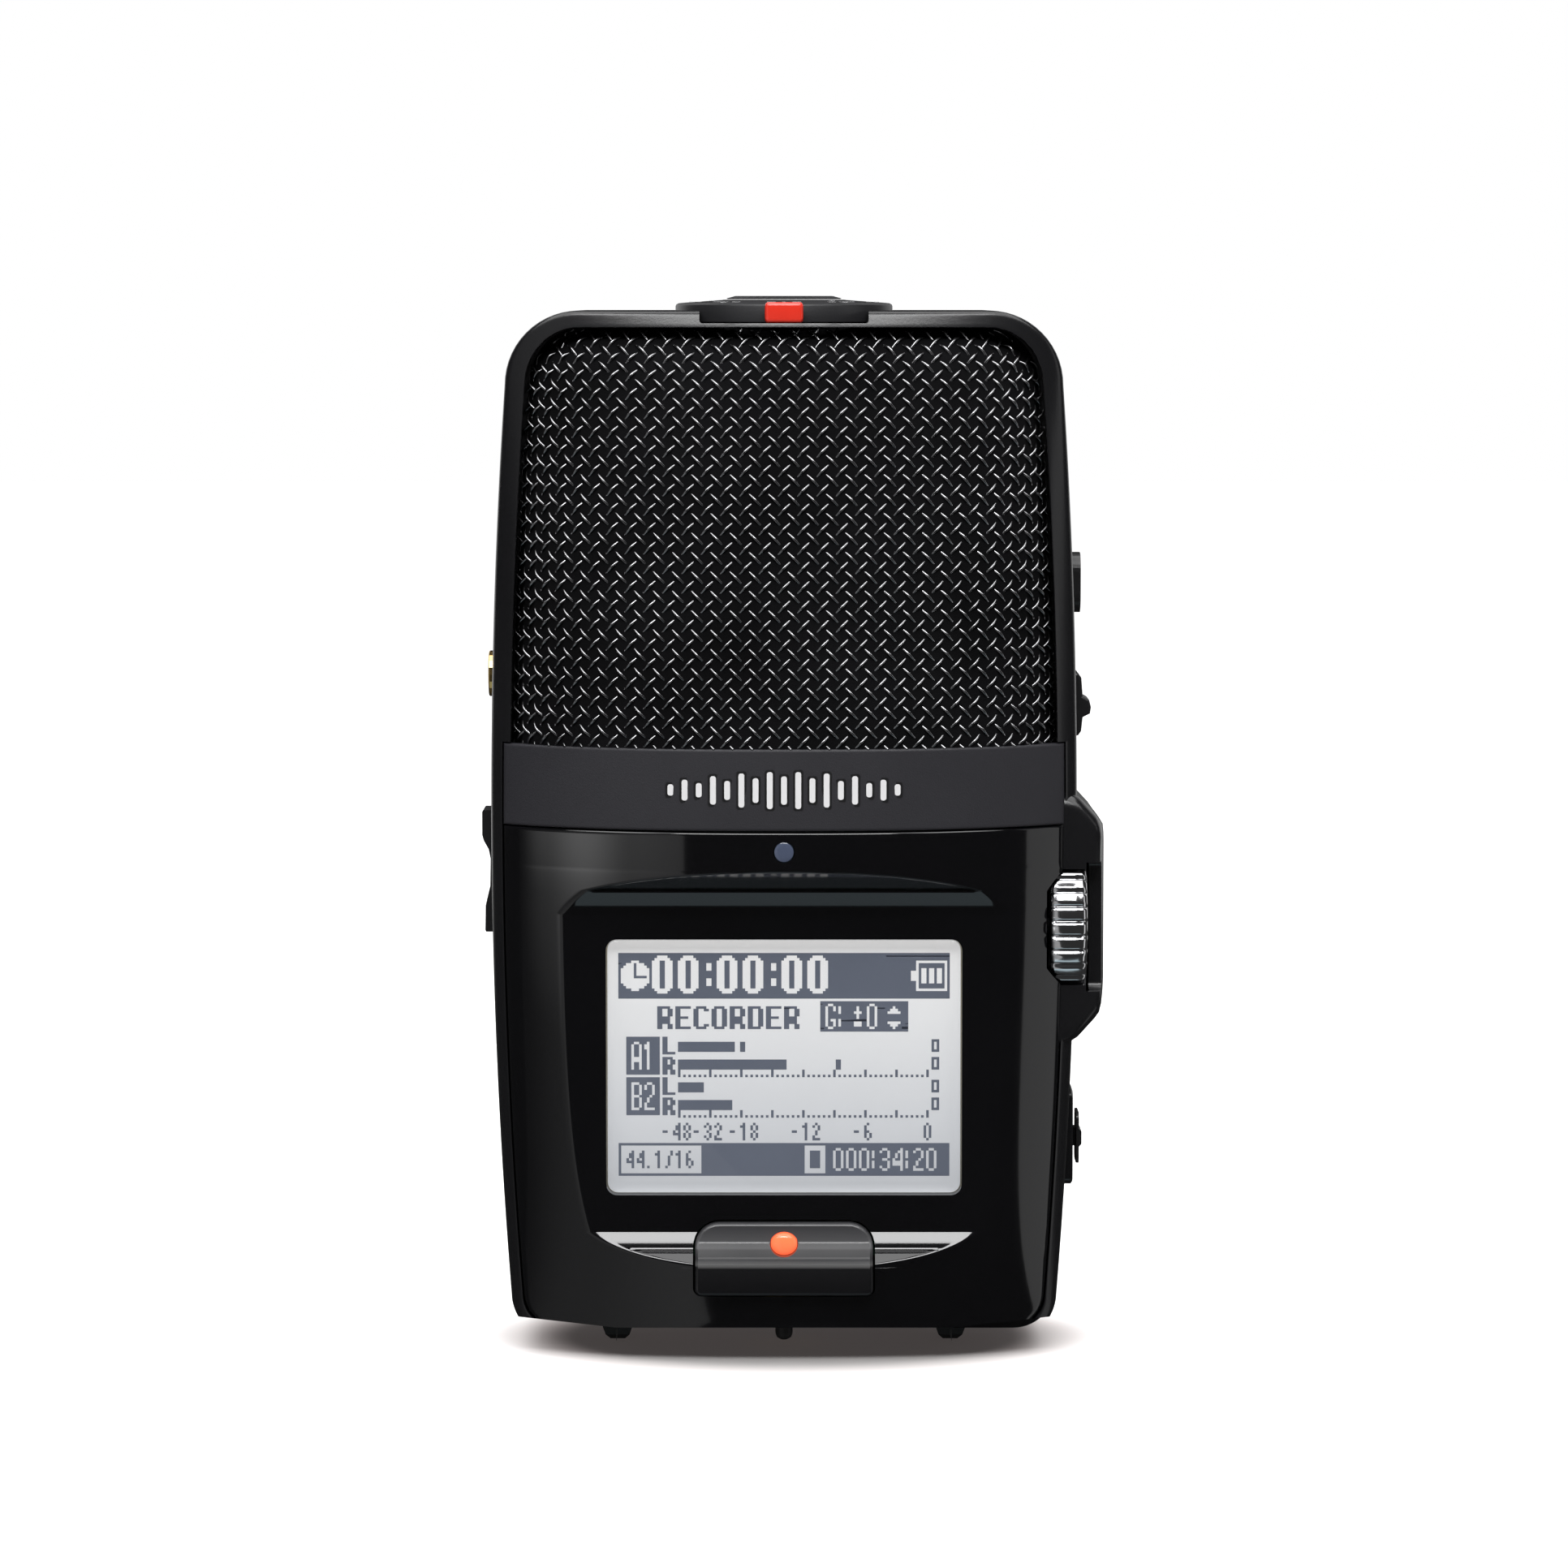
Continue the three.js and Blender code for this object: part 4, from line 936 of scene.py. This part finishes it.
def glyph(character, tall=7, wide=4):
    """Bits of a character, 3 to 5 columns wide, with some rows repeated to make it taller."""
    binary = [f"{int(digit, 16):04b}" for digit in GLYPHS[character]]
    rows = np.array([[int(bit) for bit in line] for line in binary], dtype=bool)
    middle = rows[:, 1] | rows[:, 2]
    if character in SLIM:
        rows = rows[:, 1:3]
    elif wide == 3:
        rows = np.stack([rows[:, 0], middle, rows[:, 3]], axis=1)
    elif wide == 5:
        rows = np.stack([rows[:, 0], rows[:, 1], middle, rows[:, 2], rows[:, 3]], axis=1)
    return rows[np.round(np.linspace(0, 6, tall)).astype(int)]


def write(ink, text, column, row, tall=7, wide=4, dark=True, bold=False):
    """Set a line of text; bold repeats every pixel in the next column."""
    for character in text:
        bits = glyph(character, tall, wide)
        height, width = bits.shape
        for nudge in (0, 1)[: 1 + bold]:
            ink[row : row + height, column + nudge : column + nudge + width][bits] = dark
        column += width + 1 + bold


def clock_bar(ink):
    """Top bar: clock, elapsed time and battery."""
    ink[0:18] = True
    rows, columns = np.mgrid[0:LCD_ROWS, 0:LCD_COLUMNS]
    ink[(columns - 6) ** 2 + (rows - 8.5) ** 2 < 5.8**2] = False
    ink[4:10, 6] = True
    ink[9, 6:11] = True
    zero = np.array([[cell == "#" for cell in line] for line in BIG_ZERO])
    for column in (13, 23, 38, 48, 63, 73):
        ink[1:16, column : column + 8][zero] = False
    for column in (34, 59):
        for row in (4, 10):
            ink[row : row + 3, column : column + 2] = False
    ink[3:15, 115:127] = False
    ink[4:14, 116:126] = True
    ink[7:11, 113:115] = False
    for column in (117, 120, 123):
        ink[6:12, column : column + 2] = False


def level_meters(ink):
    """Two pairs of level bars with their labels, rulers and overload boxes."""
    for top, label, levels in ((33, "A1", (22, 42)), (49, "B2", (10, 21))):
        ink[top : top + 15, 3:16] = True
        write(ink, label, 5, top + 2, tall=11, dark=False)
        for i, (letter, level) in enumerate(zip("LR", levels)):
            low = top + 8 * i
            write(ink, letter, 17, low, tall=7, bold=True)
            ink[low + 2 - i : low + 6 - i, 23 : 23 + level] = True
            ink[low + 1 - i : low + 6 - i, 121:124] = True
            ink[low + 2 - i : low + 5 - i, 122] = False
        ink[top + 15, 23:121:2] = True
        ink[top + 13 : top + 16, 23:121:12] = True
    ink[35:39, 47:49] = True
    ink[42:46, 84:86] = True
    for text, column in (("-48", 17), ("-32", 29), ("-18", 43), ("-12", 67), ("-6", 91), ("0", 118)):
        write(ink, text, column, 67, wide=3)


def display_ink():
    """What the display shows, as dark pixels."""
    ink = np.zeros((LCD_ROWS, LCD_COLUMNS), dtype=bool)
    clock_bar(ink)
    write(ink, "RECORDER", 15, 21, tall=9, wide=5, bold=True)
    ink[19:31, 78:112] = True
    write(ink, "G: +0", 80, 20, tall=10, dark=False)
    for k in range(3):
        ink[21 + k, 106 - k : 107 + k] = False
        ink[29 - k, 106 - k : 107 + k] = False
    level_meters(ink)
    ink[75:88] = True
    ink[76:87, 1:32] = False
    write(ink, "44.1/16", 3, 78, wide=3)
    ink[76:87, 72:80] = False
    ink[78:85, 74:78] = True
    write(ink, "000:34:20", 83, 77, tall=9, dark=False)
    return ink


def ink_quads(ink, face, left, top):
    """One quad per horizontal run of dark pixels."""
    points, faces = [], []
    for row in range(ink.shape[0]):
        edges = np.flatnonzero(np.diff(np.concatenate([[0], ink[row].astype(int), [0]])))
        for start, end in zip(edges[::2], edges[1::2]):
            x0, x1 = left + start * PIXEL_WIDE, left + end * PIXEL_WIDE
            z1, z0 = top - row * PIXEL_TALL, top - (row + 1) * PIXEL_TALL
            first = len(points)
            points += [(x0, face, z0), (x1, face, z0), (x1, face, z1), (x0, face, z1)]
            faces.append((first, first + 1, first + 2, first + 3))
    return points, faces


def display():
    """Lit panel, what it shows, and the clear window in front."""
    panel_depth, raised, ink_proud = 1.4, 0.15, 0.02
    panel_face = -DISH_FLOOR + panel_depth
    rings = [(0, 0.95), (-0.06, 0.4), (-0.3, 0.05), (2, 0.05)]
    light = loft("display_light", [(panel_face + y, pane(inset)) for y, inset in rings], "y", DISPLAY)
    place(light, "case", "display", "lcd_panel")
    left = -LCD_COLUMNS * PIXEL_WIDE / 2
    top = WINDOW_Z + raised + LCD_ROWS * PIXEL_TALL / 2
    points, faces = ink_quads(display_ink(), panel_face - ink_proud, left, top)
    ink = mesh_object("display_pixels", points, faces, PIXEL_INK)
    place(ink, "case", "display")
    rings = [(-0.02, 0.18), (0.1, 0.03), (0.2, 0), (0.7, 0)]
    glass = loft("window_pane", [(y - DISH_FLOOR, pane(inset)) for y, inset in rings], "y", CLEAR)
    place(glass, "case", "clear_window", "display_window")


# ---------- controls ----------


LAMP_SQUEEZE = 0.85


def button_face(z):
    """Section of the record button: it slopes out to a ridge, then follows the cover."""
    heights = [6, 7.6, 9.2, 10.7, 11.0, 11.6, 13.2, 15.2, 17]
    depths = [19.0, 19.4, 19.65, 19.82, 19.76, 18.95, 17.8, 17.42, 17.4]
    return np.interp(z, heights, depths)


def record_button():
    """Smoked upper face with a dark lower face, with the glowing lamp in it."""
    rings = [(0.0, 0.45), (0.03, 0.25), (0.1, 0.1), (0.2, 0.03), (0.35, 0)]
    back = -14.2
    points = [(x, back, z) for x, z in record_outline(0)]
    count = len(points)
    for inset, sunk in rings:
        for x, z in record_outline(inset):
            points.append((x, -button_face(z) + sunk, z))
    faces = grid_quads(len(rings) + 1, count, closed=True)
    faces.append(tuple(range(count)))
    body = mesh_object("button_edge", points, faces, SMOKE)
    top = button_top()
    button = merged("record_button_skin", [body, top])
    shade(button.data, 40)
    cutter = prism("y", (-30, -16), circle(1.5, 0, LAMP_Z, 48, LAMP_SQUEEZE), SMOKE)
    boolean(button, [cutter], "DIFFERENCE")
    place(button, "record_key", "smoke_button", "record_button")


def button_top():
    """Closed slab inside the button's rim that carries its curved face."""
    outline = record_outline(0.34)
    low = min(z for _, z in outline)
    high = max(z for _, z in outline)
    zs = np.unique(np.concatenate([np.linspace(low, high, 46), [10.7, 10.85, 11.0]]))
    ring = np.array(outline)
    reach = np.array([half_at(ring, z) for z in zs])
    x = reach[:, None] * np.linspace(-1, 1, 31)
    z = np.repeat(zs[:, None], 31, axis=1)
    return shell("button_top", x, z, button_face(z), button_face(z) - 1.2, FRONT, SMOKE)


def half_at(ring, z):
    """Half width of a symmetric outline at a height."""
    best, slack, level = 0.05, 1e-6, 1e-9
    for (x0, z0), (x1, z1) in zip(ring, np.roll(ring, -1, axis=0)):
        if min(z0, z1) - slack <= z <= max(z0, z1) + slack:
            share = 0 if abs(z1 - z0) < level else (z - z0) / (z1 - z0)
            best = max(best, abs(x0 + share * (x1 - x0)))
    return best


def record_lamp():
    """Small glowing dome in the record button."""
    rings = [(1.42, 0.35), (1.36, 0.12), (1.15, -0.08), (0.8, -0.22), (0.4, -0.3), (0.05, -0.33)]
    face = -18.0
    levels = [(-15.0, 1.42)] + [(face + sunk, radius) for radius, sunk in rings]
    sections = [(y, circle(radius, 0, LAMP_Z, 40, LAMP_SQUEEZE)) for y, radius in levels]
    place(loft("lamp_dome", sections, "y", RED_GLOW, 60), "record_key", "red_lamp", "record_lamp")


def status_lens():
    """Shallow lens of the status lamp above the display."""
    face = -depth_at(0, LENS_Z)
    rings = [(1.02, 3), (1.02, 0.3), (1.02, 0.04), (0.9, -0.02), (0.6, -0.05), (0.2, -0.06)]
    sections = [(face + y, circle(radius, 0, LENS_Z)) for radius, y in rings]
    place(loft("status_dome", sections, "y", LENS_BLUE, 60), "case", "lamp_blue", "status_lens")


def gain_wheel():
    """Chrome thumbwheel with rounded ridges across its rim."""
    low, high = node_box("gain_wheel")
    _, y, z = centre_of("gain_wheel")
    radius = (high.z - low.z) / 2
    ridges, steps, groove = 32, 512, 0.13
    angles = FULL_TURN * np.arange(steps) / steps
    from_groove = np.abs((ridges * angles / FULL_TURN) % 1 - 0.5)
    wave = 1 - np.exp(-((from_groove / groove) ** 2))

    def outline(inset, ridge):
        r = radius - inset - ridge * (1 - wave)
        return [(y + a, z + b) for a, b in zip(r * np.cos(angles), r * np.sin(angles))]

    # Each row is the distance in from a side, how far the rim is drawn in there, and the ridges' depth.
    levels = [(0, 2.2, 0.0), (0, 0.9, 0.05), (0.08, 0.5, 0.2), (0.3, 0.16, 0.3), (0.6, 0, 0.32)]
    sections = [(low.x + x, outline(inset, ridge)) for x, inset, ridge in levels]
    sections += [(high.x - x, outline(inset, ridge)) for x, inset, ridge in reversed(levels)]
    place(loft("chrome_wheel", sections, "x", CHROME, 50), "gain_wheel", "chrome", "gain_wheel")


def dial():
    """Mode dial and the printed marks on its sloping ring."""
    low, high = node_box("mode_dial")
    rim, base, top = (high.x - low.x) / 2, low.z, high.z
    ring_in, ring_out = (6.7, top - 0.03), (rim - 1, base + 2.18)
    bore, sunk = 1.9, top - 0.06
    profile = [
        (bore, base), (rim - 0.15, base), (rim, base + 0.15), (rim, base + 1.8), (rim - 0.08, base + 1.98),
        (rim - 0.35, base + 2.12), ring_out, ring_in, (6.5, top), (6.3, sunk), (bore, sunk),
    ]
    disc = turned("dial_disc", profile, DIAL, 128)
    place(disc, "mode_dial", "dial_black", "mode_dial")
    dial_knob()
    first, pitch, spots, outer_row = -90, 40, 9, 9.6
    marks = []
    for k in range(spots):
        angle = math.radians(first + k * pitch)
        for radius, length, width in ((outer_row, 1.5, 0.35), (7.9, 0.5, 0.5))[: 1 + k % 2]:
            marks.append(dial_mark(radius, angle, length, width, ring_in, ring_out))
        for j in (-1, 1):
            marks.append(dial_mark(outer_row, angle + j * 0.14, 0.3, 0.9, ring_in, ring_out))
    place(merged("dial_marks", marks), "mode_dial", "dial_black")


def dial_knob():
    """Raised knob in the middle of the dial, with fine ridges round its wall."""
    low, high = node_box("mode_knob")
    foot = (high.x - low.x) / 2
    z0, z1 = low.z, high.z
    ridges, depth, wall = 44, 0.16, 5.1

    def knurled(radius, z, angle):
        cut = depth * (0.5 - 0.5 * math.cos(ridges * angle))
        return radius - (cut if radius > wall and z0 < z < z1 else 0)

    profile = [
        (0.1, z0), (foot - 0.1, z0), (foot, z0 + 0.04), (foot, z0 + 0.1), (foot - 0.2, z0 + 0.15),
        (5.55, z1 - 0.08), (5.4, z1 - 0.03), (5.2, z1), (4.6, z1), (4.4, z1 - 0.12), (0.1, z1 - 0.15),
    ]
    knob = turned("dial_knob", profile, DIAL, 6 * ridges, knurled)
    place(knob, "mode_dial", "dial_black", "mode_knob")


def dial_mark(radius, angle, length, width, ring_in, ring_out):
    """Small printed mark lying on the sloping ring of the dial, whose ends are (radius, z)."""
    share = (radius - ring_in[0]) / (ring_out[0] - ring_in[0])
    z = ring_in[1] * (1 - share) + ring_out[1] * share
    out, across = (math.cos(angle), math.sin(angle)), (-math.sin(angle), math.cos(angle))
    outline = []
    for a, b in ((-1, -1), (1, -1), (1, 1), (-1, 1)):
        away, aside = radius + a * length / 2, b * width / 2
        outline.append((out[0] * away + across[0] * aside, out[1] * away + across[1] * aside))
    return prism("z", (z - 0.1, z + 0.025), outline, PRINT, "mark")


def index_tab():
    """Red tab in front of the dial that points at its setting."""
    low, high = node_box("index_tab")
    _, y, z = centre_of("index_tab")

    def outline(inset):
        return rounded_rect(high.y - low.y - 2 * inset, high.z - low.z - 2 * inset, 0.45, y, z)

    tab = pillow("red_tab", "x", outline, low.x, high.x, 0.4, RED_TAB)
    place(tab, "case", "index_red", "index_tab")


def soften(node, material, width, segments):
    """Give a CAD node its material and round its edges with modifiers, leaving its mesh alone."""
    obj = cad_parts[node]
    obj.data.materials.clear()
    obj.data.materials.append(material)
    if not width:
        return
    weld = obj.modifiers.new("weld", "WELD")
    weld.merge_threshold = 0.0005 * MM
    bevel = obj.modifiers.new("bevel", "BEVEL")
    bevel.width = width * MM
    bevel.segments = segments
    bevel.limit_method = "ANGLE"
    bevel.angle_limit = math.radians(28)


def carried_nodes():
    """CAD nodes that stay visible, by material and by the width and steps of their edge rounding."""
    groups = [
        (DARK_KEY, 0.22, 3, "menu_button play_lever power_slider volume_rocker"),
        (DARK_KEY, 0.2, 3, "memory_card"),
        (DARK_KEY, 0.15, 3, "line_in_socket"),
        (DARK_KEY, 0, 0, "play_carrier headphone_socket"),
        (RUBBER, 0.35, 4, "foot_left foot_right bottom_stub"),
        (RUBBER, 0.2, 3, "card_cover"),
        (GOLD, 0.15, 3, "headphone_ring"),
        (BRASS, 0.15, 3, "tripod_insert"),
        (BRASS, 0, 0, "mic_front_left mic_front_right mic_rear_left mic_rear_right mic_centre"),
        (STEEL, 0.2, 3, "case_screw_1 case_screw_2 case_screw_3 case_screw_4"),
        (STEEL, 0, 0, "usb_port card_socket speaker contact_bridge contact_spring_left contact_spring_right"),
        (STEEL, 0, 0, "record_switch menu_switch play_switch power_switch volume_switch"),
        (STEEL, 0, 0, "rotary_switch wheel_potentiometer"),
        (CELL, 0.5, 3, "battery_left battery_right"),
        (BOARD, 0, 0, "main_board"),
        (IVORY, 0, 0, "mic_bracket display_tray"),
    ]
    for material, width, steps, names in groups:
        for node in names.split():
            soften(node, material, width, steps)


# ---------- rear ----------


def block(xs, ys, zs, material):
    """Block over three spans, with a slight corner on its edges along y."""
    centre = (sum(xs) / 2, sum(zs) / 2)
    return prism("y", ys, rounded_rect(xs[1] - xs[0], zs[1] - zs[0], 0.4, *centre, 3), material, "block")


def battery_bay():
    """Open box for the cells, whose walls end just under the skin of the rear cover."""
    bay = block((-16.9, 16.9), (-0.6, 24), (4.4, 59.6), DARK_KEY)
    room = block((-15.9, 15.9), (0.4, 25), (5.2, 58.9), DARK_KEY)
    boolean(bay, [room], "DIFFERENCE")

    def under_skin(x, z):
        return depth_at(x, z) - 0.8

    inside = panel("cut", spread(COVER_LOW, 60, 0.8), COVER_INSET, under_skin, 30, REAR, DARK_KEY)
    boolean(bay, [inside], "INTERSECT")
    return bay


def rear_cover():
    """Domed cover with the battery doorway, the speaker slots and the screw holes."""
    zs = spread(COVER_LOW, COVER_TOP, 0.8)
    cover = panel("rear_cover_skin", zs, COVER_INSET, depth_at, SKIN, REAR, GLOSS)
    low, high = node_box("battery_door")
    gap, slot_x, screw_hole = 0.15, 22.5, 2
    doorway = ((low.x - gap, high.x + gap), (8, 30), (low.z - gap, high.z + gap))
    cutters = [block(*doorway, GLOSS)]
    for z in range(26, 39, 3):
        cutters.append(prism("y", REAR_CUT, rounded_rect(8, 1.2, 0.55, slot_x, z), GLOSS))
    for number in range(1, 5):
        x, _, z = centre_of(f"case_screw_{number}")
        cutters.append(prism("y", REAR_CUT, circle(screw_hole, x, z), GLOSS))
    boolean(cover, cutters + keel_wedges(GLOSS), "DIFFERENCE")
    whole = merged("rear_cover_shell", [cover, battery_bay()])
    shade(whole.data, SMOOTH_ANGLE)
    place(whole, "case", "gloss_black", "rear_cover")


def battery_door():
    """Curved door, flush with the rear cover, with a patch of grip ribs near its top."""
    low, high = node_box("battery_door")
    half = (high.x - low.x) / 2
    x, z = np.meshgrid(spread(-half, half, 0.8), spread(low.z, high.z, 0.8))
    to_edge = np.minimum(np.minimum(half - np.abs(x), z - low.z), high.z - z)
    grip_low, grip_high, grip_half, rib_pitch, rib_depth = 44, 51, 6, 0.8, 0.12
    grip = (z > grip_low) & (z < grip_high) & (np.abs(x) < grip_half)
    ribs = rib_depth * np.clip(np.sin((z - grip_low) * math.pi / rib_pitch), 0, 1) * grip
    depth = depth_at(x, z)
    outer = depth - rounding(to_edge, 0.3) - ribs
    door = shell("battery_door_skin", x, z, outer, depth - 1.3, REAR, GLOSS)
    place(door, "battery_door", "gloss_black", "battery_door")


# ---------- stage, light and camera ----------


def stage():
    """Plain pale floor: it fades to a lit white away from the recorder, so no horizon shows, round a painted
    shadow.
    """
    material = finish("floor", (0.5, 0.49, 0.485), 0.8, vary=0.01)
    tree = material.node_tree
    shader = tree.nodes["Principled BSDF"]
    set_inputs(shader, {"Specular IOR Level": 0.1})
    # Painted shadow: near the recorder the floor's glow drops to a small share, in an ellipse round it.
    shadow_glow, fade_start, fade_end = 0.05, 0.017, 0.028
    place_of = add_node(tree, "TexCoord")
    plan = add_node(tree, "VectorMath", {1: (0.72, 1, 1)}, operation="MULTIPLY")
    length = add_node(tree, "VectorMath", operation="LENGTH")
    connect(tree, place_of, "Object", plan, 0)
    connect(tree, plan, "Vector", length, 0)
    limits = {"From Min": fade_start, "From Max": fade_end, "To Min": shadow_glow}
    fade = add_node(tree, "MapRange", limits, interpolation_type="SMOOTHSTEP")
    connect(tree, length, "Value", fade, "Value")
    path = add_node(tree, "LightPath")
    seen = add_node(tree, "Math", operation="MULTIPLY")
    connect(tree, fade, "Result", seen, 0)
    connect(tree, path, "Is Camera Ray", seen, 1)
    # Pinkish brown near the recorder: the tint of the painted shadow.
    tint = add_node(tree, "Mix", data_type="RGBA")
    tint.inputs["A"].default_value = (1, 0.86, 0.84, 1)
    tint.inputs["B"].default_value = (1, 1, 1, 1)
    connect(tree, fade, "Result", tint, "Factor")
    connect(tree, tint, "Result", shader, "Emission Color")
    connect(tree, seen, "Value", shader, "Emission Strength")
    reach = 3
    mesh = bpy.data.meshes.new("floor")
    corners = [(-reach, -reach, 0), (reach, -reach, 0), (reach, reach, 0), (-reach, reach, 0)]
    mesh.from_pydata(corners, [], [(0, 1, 2, 3)])
    mesh.materials.append(material)
    floor = bpy.data.objects.new("floor", mesh)
    floor.visible_glossy = False
    bpy.context.collection.objects.link(floor)


def fading(tree, source, output, shares):
    """Brightness along one side of a softbox, from its shares at even steps."""
    ramp = add_node(tree, "ValToRGB")
    ramp.color_ramp.interpolation = "EASE"
    stops = ramp.color_ramp.elements
    last = len(shares) - 1
    for i in range(1, last):
        stops.new(i / last)
    for stop, share in zip(stops, shares):
        stop.color = (share, share, share, 1)
    connect(tree, source, output, ramp, "Fac")
    return ramp


def area_light(name, direction, distance, size, radiance, color=(1, 1, 1), across=(1, 1), up=(1, 1)):
    """Softbox in a direction from the recorder, given as its azimuth and elevation in degrees.

    Azimuth 0 is in front, and positive is to the right. across and up give the brightness from left
    to right and from bottom to top, as shares of the radiance.
    """
    aim = Vector((0, 0, 0.055))
    turn, rise = (math.radians(angle) for angle in direction)
    toward = Vector((math.sin(turn) * math.cos(rise), -math.cos(turn) * math.cos(rise), math.sin(rise)))
    width, height = size
    data = bpy.data.lights.new(name, "AREA")
    data.shape = "RECTANGLE"
    data.size, data.size_y = width, height
    data.energy = radiance * math.pi * width * height
    data.color = color
    data.use_nodes = True
    tree = data.node_tree
    geometry = add_node(tree, "NewGeometry")
    split = add_node(tree, "SeparateXYZ")
    strength = add_node(tree, "Math", operation="MULTIPLY")
    connect(tree, geometry, "Parametric", split, "Vector")
    connect(tree, fading(tree, split, "X", across), "Color", strength, 0)
    connect(tree, fading(tree, split, "Y", up), "Color", strength, 1)
    connect(tree, strength, "Value", tree.nodes["Emission"], "Strength")
    light = bpy.data.objects.new(name, data)
    light.location = aim + toward * distance
    light.rotation_euler = toward.to_track_quat("Z", "Y").to_euler()
    bpy.context.collection.objects.link(light)


def lights():
    """Softboxes round the recorder: each direction, distance, size and radiance."""
    left_turn, side_size = -47.5, (0.8, 1.1)
    area_light("left_softbox", (left_turn, -12), 1.2, (1.36, 2.2), 0.34, across=(0.1, 0.6, 1))
    area_light(
        "left_highlight", (left_turn, -7), 1.1, (1.25, 0.115), 1.8,
        across=(0, 0.45, 1, 0.25, 0.1), up=(0, 0.2, 1),
    )
    area_light("right_strip", (76, -6), 1.1, (0.42, 1.8), 0.6)
    area_light("upper_left", (-48, 47), 1.1, (0.45, 0.4), 4)
    area_light("upper_right", (48, 47), 1.1, (0.45, 0.4), 3.5)
    area_light("upper_front", (0, 45), 1.1, (0.7, 0.3), 11)
    area_light("rear_left", (-150, 18), 1.2, side_size, 0.8)
    area_light("rear_right", (150, 18), 1.2, side_size, 0.6)
    area_light("top_softbox", (0, 88), 0.9, (1.1, 0.8), 3.2)
    area_light("floor_bounce", (0, -63), 0.6, (0.5, 0.19), 0.5, color=(0.8, 1, 1.08))


def backdrop():
    """White surroundings for the camera, which give the recorder only a little light."""
    world = bpy.context.scene.world or bpy.data.worlds.new("studio")
    bpy.context.scene.world = world
    world.use_nodes = True
    tree = world.node_tree
    tree.nodes.clear()
    white, fill = (1, 1, 1, 1), 0.03
    output = add_node(tree, "OutputWorld")
    seen = add_node(tree, "Background", {"Color": white})
    felt = add_node(tree, "Background", {"Color": white, "Strength": fill})
    path = add_node(tree, "LightPath")
    mix = add_node(tree, "MixShader")
    connect(tree, path, "Is Camera Ray", mix, "Fac")
    connect(tree, felt, "Background", mix, 1)
    connect(tree, seen, "Background", mix, 2)
    connect(tree, mix, "Shader", output, "Surface")


def camera():
    """Camera straight in front, level with the recorder's top and looking slightly down."""
    distance, eye_height, aim_height = 0.65, 0.114, 0.0608
    data = bpy.data.cameras.new("camera")
    data.sensor_width = 36
    data.lens = 137.3
    eye = bpy.data.objects.new("camera", data)
    eye.location = (SHIFT.x * MM, -distance, eye_height)
    aim = Vector((SHIFT.x * MM, 0, aim_height))
    eye.rotation_euler = (aim - eye.location).to_track_quat("-Z", "Y").to_euler()
    bpy.context.collection.objects.link(eye)
    bpy.context.scene.camera = eye
    bpy.context.scene.view_settings.view_transform = "Standard"


camera()
case_frame()
front_cover()
band(FRONT, "front_band_skin", "front_band")
band(REAR, "rear_band_skin", "rear_band")
level_mark()
foam(FRONT, "front_foam_skin", "front_foam")
foam(REAR, "rear_foam_skin", "rear_foam")
grille(FRONT, "front_weave", "front_grille")
grille(REAR, "rear_weave", "rear_grille")
display()
record_button()
record_lamp()
status_lens()
gain_wheel()
dial()
index_tab()
rear_cover()
battery_door()
carried_nodes()
stage()
lights()
backdrop()
